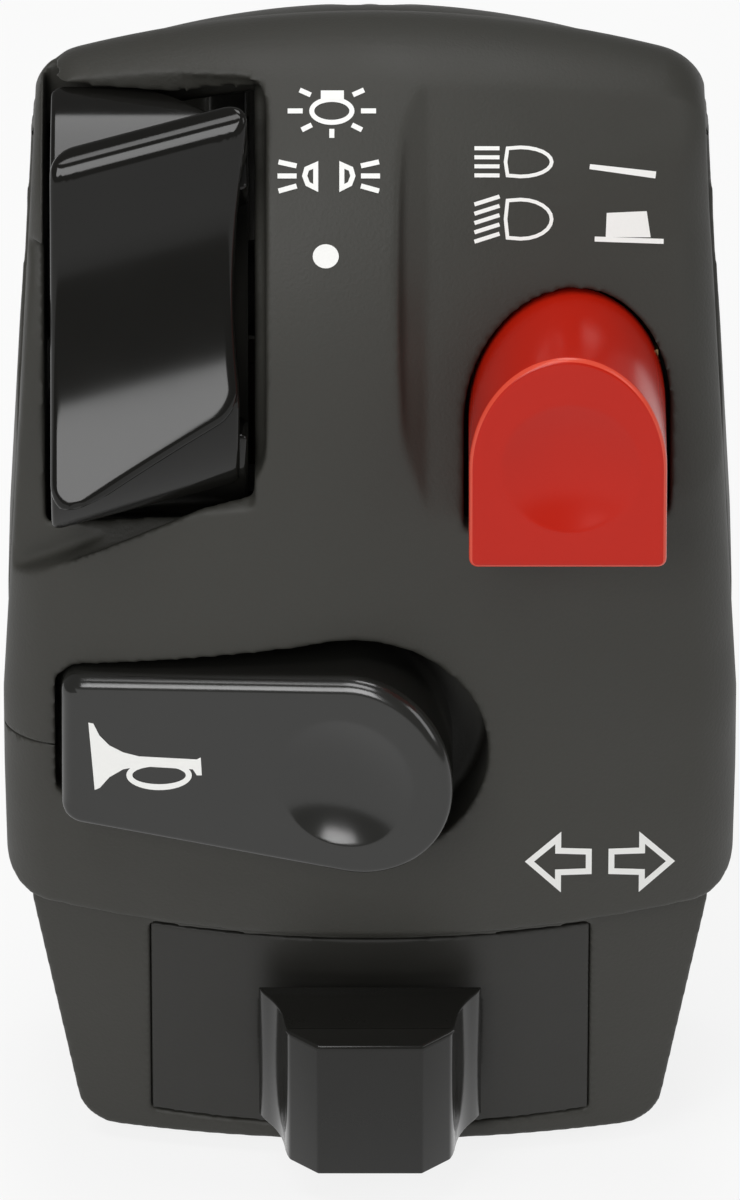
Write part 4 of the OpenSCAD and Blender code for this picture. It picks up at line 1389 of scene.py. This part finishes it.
@dataclass(frozen=True)
class Spring:
    """A packed coil spring, with the name of the joint that presses it and a travel."""

    node: str
    body: Body
    joint: str
    travel: float
    lean_deg: float = 0.0
    side: int = 0

    def axis(self) -> Vector:
        """Direction towards the end that stays in place.

        Returns:
            A unit vector.
        """
        if self.side:
            return Vector((self.side, 0, 0))
        lean = math.radians(self.lean_deg)
        return Vector((0, math.cos(lean), math.sin(lean)))

    def build(self) -> None:
        """Makes the spring, or the half of a pair that lies on its side."""
        piece = cad_copy(self.node, self.node + ("_coil", "_right", "_left")[self.side])
        bm = bmesh.new()
        bm.from_mesh(piece.data)
        other = [v for v in bm.verts if v.co.x * self.side < 0]
        bmesh.ops.delete(bm, geom=other, context="VERTS")
        bm.to_mesh(piece.data)
        bm.free()
        axis = self.axis()
        ways = [v.co.dot(axis) for v in piece.data.vertices]
        middle = sum((v.co for v in piece.data.vertices), Vector()) / len(ways)
        anchor = middle + axis * (max(ways) - middle.dot(axis))
        fit_out(piece, STEEL, self.body, self.node)
        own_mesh(piece)


# Each travel is a little more than its joint's.
SPRINGS = (
    Spring("dip_spring", Body.HOUSING, "dip_press", 3.55),
    Spring("cancel_spring", Body.CARRIAGE, "indicator_cancel", 0.95, lean_deg=18.0),
    Spring("centring_springs", Body.HOUSING, "indicator_slide", 4.05, side=-1),
    Spring("centring_springs", Body.HOUSING, "indicator_slide", 4.05, side=1),
)


@dataclass(frozen=True)
class PhotoView:
    """Camera of the photograph: straight ahead, looking down, with a long lens."""

    width_px: float = 740.0
    height_px: float = 1200.0
    px_per_mm: float = 16.0
    elevation: float = 25.0
    centre: Point3 = (0.0, -28.5, -8.7)
    origin_py: float = 281.0
    distance: float = 1.4
    sensor: float = 36.0
    far: float = 20.0

    @property
    def toward(self) -> Vector:
        """Unit vector from the object to the camera."""
        lift = math.radians(self.elevation)
        return Vector((0, -math.cos(lift), math.sin(lift)))

    @property
    def up(self) -> Vector:
        """Unit vector up the picture."""
        lift = math.radians(self.elevation)
        return Vector((0, math.sin(lift), math.cos(lift)))

    def build(self) -> None:
        """Makes the camera."""
        data = bpy.data.cameras.new("photo_camera")
        data.sensor_width = self.sensor
        data.lens = self.sensor * self.distance / (self.height_px / self.px_per_mm * MM)
        data.clip_end = self.far
        camera = bpy.data.objects.new("photo_camera", data)
        camera.location = Vector(self.centre) * MM + self.toward * self.distance
        camera.rotation_euler = (-self.toward).to_track_quat("-Z", "Y").to_euler()
        bpy.context.scene.collection.objects.link(camera)
        bpy.context.scene.camera = camera

    def on_plane(self, px: float, py: float) -> Point2:
        """Millimetres across and up the view plane for a pixel of the photograph."""
        return (px - self.width_px / 2) / self.px_per_mm, (self.origin_py - py) / self.px_per_mm


VIEW = PhotoView()


@dataclass(frozen=True)
class Lamp:
    """A rectangular soft lamp that faces the part: degrees right of the camera and up, and metres."""

    name: str
    side_deg: float
    lift_deg: float
    away: float
    size: Point2
    radiance: float
    target: Point3 = (0.0, -0.01, -0.01)

    def build(self) -> None:
        """Adds the lamp."""
        side, lift = math.radians(self.side_deg), math.radians(self.lift_deg)
        way = Vector((math.sin(side) * math.cos(lift), -math.cos(side) * math.cos(lift), math.sin(lift)))
        data = bpy.data.lights.new(self.name, "AREA")
        data.shape = "RECTANGLE"
        data.size, data.size_y = self.size
        data.energy = self.radiance * math.pi * data.size * data.size_y
        lamp = bpy.data.objects.new(self.name, data)
        lamp.location = Vector(self.target) + way * self.away
        lamp.rotation_euler = (-way).to_track_quat("-Z", "Y").to_euler()
        bpy.context.scene.collection.objects.link(lamp)


LAMPS = (
    Lamp("window_box", -22, 25, 1.8, (0.7, 0.7), 8.0),
    Lamp("high_box", -24, 57, 1.8, (0.8, 0.5), 6.0),
    Lamp("top_box", 0, 98, 1.5, (0.5, 0.8), 6.2),
    Lamp("right_box", 62, 30, 1.8, (0.7, 0.9), 2.8),
)


@dataclass(frozen=True)
class Studio:
    """Floor, world and soft lamps, in metres."""

    floor_half: float = 8.0
    floor_drop: float = 0.0002
    floor_colour: Point3 = (0.8, 0.8, 0.79)
    floor_glow: float = 0.85
    world_glow: float = 0.22

    def floor(self) -> None:
        """Pale floor under the part, white to the camera."""
        bm = bmesh.new()
        bmesh.ops.create_grid(bm, x_segments=1, y_segments=1, size=self.floor_half)
        bmesh.ops.translate(bm, verts=bm.verts, vec=(0, 0, CAD_BOX[0][2] - self.floor_drop))
        floor = show(bm, "floor")
        material = bpy.data.materials.new("pale_floor")
        material.use_nodes = True
        kit = NodeKit(material.node_tree)
        pale = kit.node("ShaderNodeBsdfDiffuse", {}, {"Color": (*self.floor_colour, 1)})
        white = kit.node("ShaderNodeEmission", {}, {"Color": (1, 1, 1, 1), "Strength": 1.0})
        share = self.seen(kit) * self.floor_glow
        shown = kit.node("ShaderNodeMixShader", {}, {0: share, 1: pale, 2: white})
        kit.node("ShaderNodeOutputMaterial", {}, {"Surface": shown})
        floor.data.materials.append(material)

    @staticmethod
    def seen(kit: NodeKit) -> Socket:
        """1 for rays that show the background.

        Args:
            kit: Nodes of the floor's material.

        Returns:
            The sum of three ray tests.
        """
        camera = kit.node("ShaderNodeLightPath", {}, {}, "Is Camera Ray")
        glossy = kit.node("ShaderNodeLightPath", {}, {}, "Is Glossy Ray")
        clear = kit.node("ShaderNodeLightPath", {}, {}, "Is Transmission Ray")
        return camera + glossy + clear

    def world(self) -> None:
        """Dim grey light all round."""
        world = bpy.data.worlds.new("studio")
        bpy.context.scene.world = world
        world.use_nodes = True
        kit = NodeKit(world.node_tree)
        glow = kit.node("ShaderNodeBackground", {}, {"Color": (1, 1, 1, 1), "Strength": self.world_glow})
        kit.node("ShaderNodeOutputWorld", {}, {"Surface": glow})

    def build(self) -> None:
        """Makes the studio."""
        bpy.context.scene.view_settings.view_transform = "Standard"
        self.world()
        self.floor()
        for lamp in LAMPS:
            lamp.build()


class Print:
    """White symbols, drawn on the view plane and laid on the part below."""

    # Skin of the print, how far it stands out, lift of a crossing stroke and longest edge.
    thickness = 0.09
    proud = 0.04
    overlap = 0.02
    longest = 0.6
    cuts = 2
    step_px = 8
    step_deg = 9
    least_steps = 8
    sharpest = 0.35

    def __init__(self, name: str, carrier: bpy.types.Object, body: Body) -> None:
        """Starts a print.

        Args:
            name: Name of the piece.
            carrier: Piece that the print lies on.
            body: Body that carries it.
        """
        self.name = name
        self.body = body
        self.layer = 0.0
        self.bm = bmesh.new()
        mesh = carrier.data
        self.ground = BVHTree.FromPolygons([v.co for v in mesh.vertices],
                                           [p.vertices for p in mesh.polygons])

    def over(self) -> None:
        """Lifts what is drawn next a little, so that it lies over the strokes before it."""
        self.layer = self.overlap

    def strip(self, rows: Sequence[tuple[Point2, Point2]]) -> None:
        """Adds a strip of quads between pairs of pixels.

        Args:
            rows: Pairs of pixels in order.
        """
        pairs = [[self.bm.verts.new((*VIEW.on_plane(*p), self.layer)) for p in pair] for pair in rows]
        for (a, b), (c, d) in zip(pairs, pairs[1:]):
            self.bm.faces.new((a, b, d, c))

    def line(self, start: Point2, end: Point2, width: float, taper: float = 1.0) -> None:
        """Adds a straight stroke in pixels.

        Args:
            start: First pixel.
            end: Last pixel.
            width: Width at the start.
            taper: Width at the end over that at the start.
        """
        a, b = Vector(start), Vector(end)
        side = Vector((a.y - b.y, b.x - a.x)).normalized() * width / 2
        steps = max(1, round((b - a).length / self.step_px))
        rows = []
        for i in range(steps + 1):
            t = i / steps
            p, s = a.lerp(b, t), side * (1 + (taper - 1) * t)
            rows.append((tuple(p + s), tuple(p - s)))
        self.strip(rows)

    def path(self, points: Sequence[Point2], width: float, closed: bool = False) -> None:
        """Adds a mitred stroke through pixels.

        Args:
            points: Pixels in order.
            width: Width of the stroke.
            closed: Whether the ends meet.
        """
        pts = [Vector(p) for p in points]
        n = len(pts)
        rows = []
        for i, p in enumerate(pts):
            before = pts[i - 1] if i or closed else p
            after = pts[(i + 1) % n] if i < n - 1 or closed else p
            d0 = (p - before).normalized() if p != before else (after - p).normalized()
            d1 = (after - p).normalized() if after != p else d0
            n0, n1 = Vector((-d0.y, d0.x)), Vector((-d1.y, d1.x))
            mitre = (n0 + n1).normalized()
            reach = width / 2 / max(self.sharpest, mitre.dot(n0))
            rows.append((tuple(p + mitre * reach), tuple(p - mitre * reach)))
        self.strip(rows + rows[:1] if closed else rows)

    def arc(self, centre: Point2, rx: float, ry: float, start: float, end: float, width: float) -> None:
        """Adds an elliptic stroke; 0 degrees is right and 90 is up.

        Args:
            centre: Middle pixel.
            rx: Radius across.
            ry: Radius up.
            start: First angle.
            end: Last angle.
            width: Width of the stroke.
        """
        steps = max(self.least_steps, round(abs(end - start) / self.step_deg))
        rows = []
        for i in range(steps + 1):
            t = math.radians(start + (end - start) * i / steps)
            pair = tuple((centre[0] + (rx + k) * math.cos(t), centre[1] - (ry + k) * math.sin(t))
                         for k in (width / 2, -width / 2))
            rows.append(pair)
        self.strip(rows)

    def fill(self, points: Sequence[Point2]) -> None:
        """Adds a filled outline in pixels."""
        self.bm.faces.new([self.bm.verts.new((*VIEW.on_plane(*p), self.layer)) for p in points])

    def land(self, u: float, s: float) -> Vector:
        """Point of the carrier that shows at a place of the view plane."""
        start = (Vector((u, 0, 0)) + VIEW.up * s) * MM + VIEW.toward
        return self.ground.ray_cast(start, -VIEW.toward)[0]

    def build(self) -> None:
        """Lays the print on the surface as a thin closed skin."""
        bmesh.ops.recalc_face_normals(self.bm, faces=self.bm.faces)
        long_edges = [e for e in self.bm.edges if e.calc_length() > self.longest]
        if long_edges:
            bmesh.ops.subdivide_edges(self.bm, edges=long_edges, cuts=self.cuts, use_grid_fill=True)
        grown = bmesh.ops.extrude_face_region(self.bm, geom=list(self.bm.faces))["geom"]
        raised = set(verts_in(grown))
        for vert in self.bm.verts:
            lift = self.proud + (vert.co.z if vert in raised else -self.thickness)
            vert.co = self.land(vert.co.x, vert.co.y) + VIEW.toward * lift * MM
        bmesh.ops.recalc_face_normals(self.bm, faces=self.bm.faces)
        piece = show(self.bm, self.name)
        piece.data.materials.append(WHITE.material())
        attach(piece, self.body.value)
        LOG.info("%s on %s", self.name, self.body.value)


@dataclass(frozen=True)
class Symbols:
    """Generic control symbols, placed by the pixels of the photograph."""

    shell: bpy.types.Object
    horn_button: bpy.types.Object
    stroke: float = 5.0
    bulb: Point2 = (332, 113)
    bulb_r: Point2 = (20, 11.5)
    socket: tuple[Point2, Point2] = ((321, 97), (344, 97))
    socket_stroke: float = 9.0
    rays: tuple[Point3, ...] = ((0, 29, 44), (180, 29, 44), (270, 18, 27))
    slant_rays: tuple[tuple[Point2, Point2], ...] = (((21, 97), (32, 92)), ((20, 127), (30, 132)))
    park_x: float = 329.0
    park_lens: tuple[Point2, ...] = ((13, 167), (22, 171), (24, 178), (21, 186), (13, 190))
    park_rays: tuple[tuple[Point2, Point2], ...] = (((32, 168), (50, 164)), ((32, 178), (51, 178)),
                                                    ((32, 188), (50, 193)))
    dot: Point2 = (326, 258)
    dot_r: Point2 = (13, 12)
    dot_sides: int = 28
    # Top row, foot row, slope and number of rays of each beam.
    beams_at: tuple[tuple[float, float, float, int], ...] = ((149, 178, 0, 4), (201, 240, 8, 5))
    beam_x: Point2 = (474, 499)
    beam_stroke: float = 4.0
    lens_x: Point3 = (505, 507, 520)
    lens_deep: float = 31.0
    lens_step: int = 15
    lens_ease: float = 1.0
    lens_stroke: float = 3.6
    raised: tuple[Point2, Point2] = ((589, 168), (655, 176))
    raised_taper: float = 1.4
    pressed: tuple[Point2, ...] = ((606, 214), (646, 212), (650, 238), (605, 238))
    pressed_base: tuple[Point2, Point2] = ((594, 240), (663, 242))
    arrow_tips: tuple[tuple[float, int], ...] = ((531, 1), (674, -1))
    arrow_y: float = 864.0
    arrow: tuple[Point2, ...] = ((0, 0), (29, -24), (29, -11), (60, -10), (60, 10), (29, 11), (29, 25))
    thick_stroke: float = 6.0
    trumpet: tuple[Point2, ...] = (
        (87, 723), (92, 724), (98, 736), (108, 746), (122, 753), (138, 757), (196, 760), (200, 758),
        (201, 776), (196, 776), (192, 770), (140, 767), (122, 770), (108, 778), (98, 789), (93, 791))
    loop: Point2 = (158, 776)
    loop_r: Point2 = (30, 12)

    @staticmethod
    def beside(x: float, side: int, spots: Sequence[Point2]) -> list[Point2]:
        """Pixels that lie to one side of x.

        Args:
            x: Pixel column that the spots count from.
            side: 1 for the right and -1 for the left.
            spots: Distance from the column and pixel row of each spot.

        Returns:
            The pixels.
        """
        return [(x + side * over, y) for over, y in spots]

    def lamps(self) -> None:
        """Lamp with rays, parking lamps and the off dot beside the rocker."""
        ink = Print("lamp_symbols", self.shell, Body.HOUSING)
        cx, cy = self.bulb
        ink.arc(self.bulb, *self.bulb_r, 0, 360, self.stroke)
        ink.over()
        ink.line(*self.socket, self.socket_stroke)
        for deg, near, far in self.rays:
            c, s = math.cos(math.radians(deg)), math.sin(math.radians(deg))
            ink.line((cx + near * c, cy - near * s), (cx + far * c, cy - far * s), self.stroke)
        for side in (-1, 1):
            for ray in self.slant_rays:
                ink.line(*self.beside(cx, side, ray), self.stroke)
        for side in (-1, 1):
            ink.path(self.beside(self.park_x, side, self.park_lens), self.stroke, True)
            for ray in self.park_rays:
                ink.line(*self.beside(self.park_x, side, ray), self.stroke)
        turns = [k * math.tau / self.dot_sides for k in range(self.dot_sides)]
        ink.fill([(self.dot[0] + self.dot_r[0] * math.cos(t), self.dot[1] + self.dot_r[1] * math.sin(t))
                  for t in turns])
        ink.build()

    def beams(self) -> None:
        """High and low beam with the two positions of the dip button."""
        ink = Print("beam_symbols", self.shell, Body.HOUSING)
        dent, back, front = self.lens_x
        ease_px = self.lens_ease
        for top, low, slope, rows in self.beams_at:
            mid = (top + low) / 2
            tall = (low - top) / 2
            nose = [(back, top + ease_px), (front, top)]
            for t in (math.radians(k) for k in range(self.lens_step, 180, self.lens_step)):
                nose.append((front + self.lens_deep * math.sin(t), mid - tall * math.cos(t)))
            nose += [(front, low), (back, low - ease_px), (dent, mid)]
            ink.path(nose, self.lens_stroke, True)
            for k in range(rows):
                y = top + ease_px + k * (low - top - 2 * ease_px) / (rows - 1)
                left, right = self.beam_x
                ink.line((left, y + slope / 2), (right, y - slope / 2), self.beam_stroke)
        ink.line(*self.raised, self.stroke, self.raised_taper)
        ink.fill(self.pressed)
        ink.over()
        ink.line(*self.pressed_base, self.stroke)
        ink.build()

    def turns(self) -> None:
        """Outlined arrows of the indicator."""
        ink = Print("turn_symbols", self.shell, Body.HOUSING)
        for tip, side in self.arrow_tips:
            spots = [(over, self.arrow_y + down) for over, down in self.arrow]
            ink.path(self.beside(tip, side, spots), self.thick_stroke, True)
        ink.build()

    def horn(self) -> None:
        """Horn on the horn button."""
        ink = Print("horn_symbol", self.horn_button, Body.HORN)
        ink.fill(self.trumpet)
        ink.over()
        ink.arc(self.loop, *self.loop_r, 0, 360, self.thick_stroke)
        ink.build()

    def build(self) -> None:
        """Prints all symbols."""
        self.lamps()
        self.beams()
        self.turns()
        self.horn()


def main() -> None:
    """Builds the cluster and its studio in order."""
    logging.basicConfig(level=logging.INFO, format="%(message)s")
    VIEW.build()
    Studio().build()
    shell = Shells().build()
    LightRocker().build()
    DipButton().build()
    horn_button = HornButton().build()
    HornPin().build()
    IndicatorKnob().build()
    InnerParts().build()
    for spring in SPRINGS:
        spring.build()
    Symbols(shell, horn_button).build()


if __name__ == "__main__":
    main()
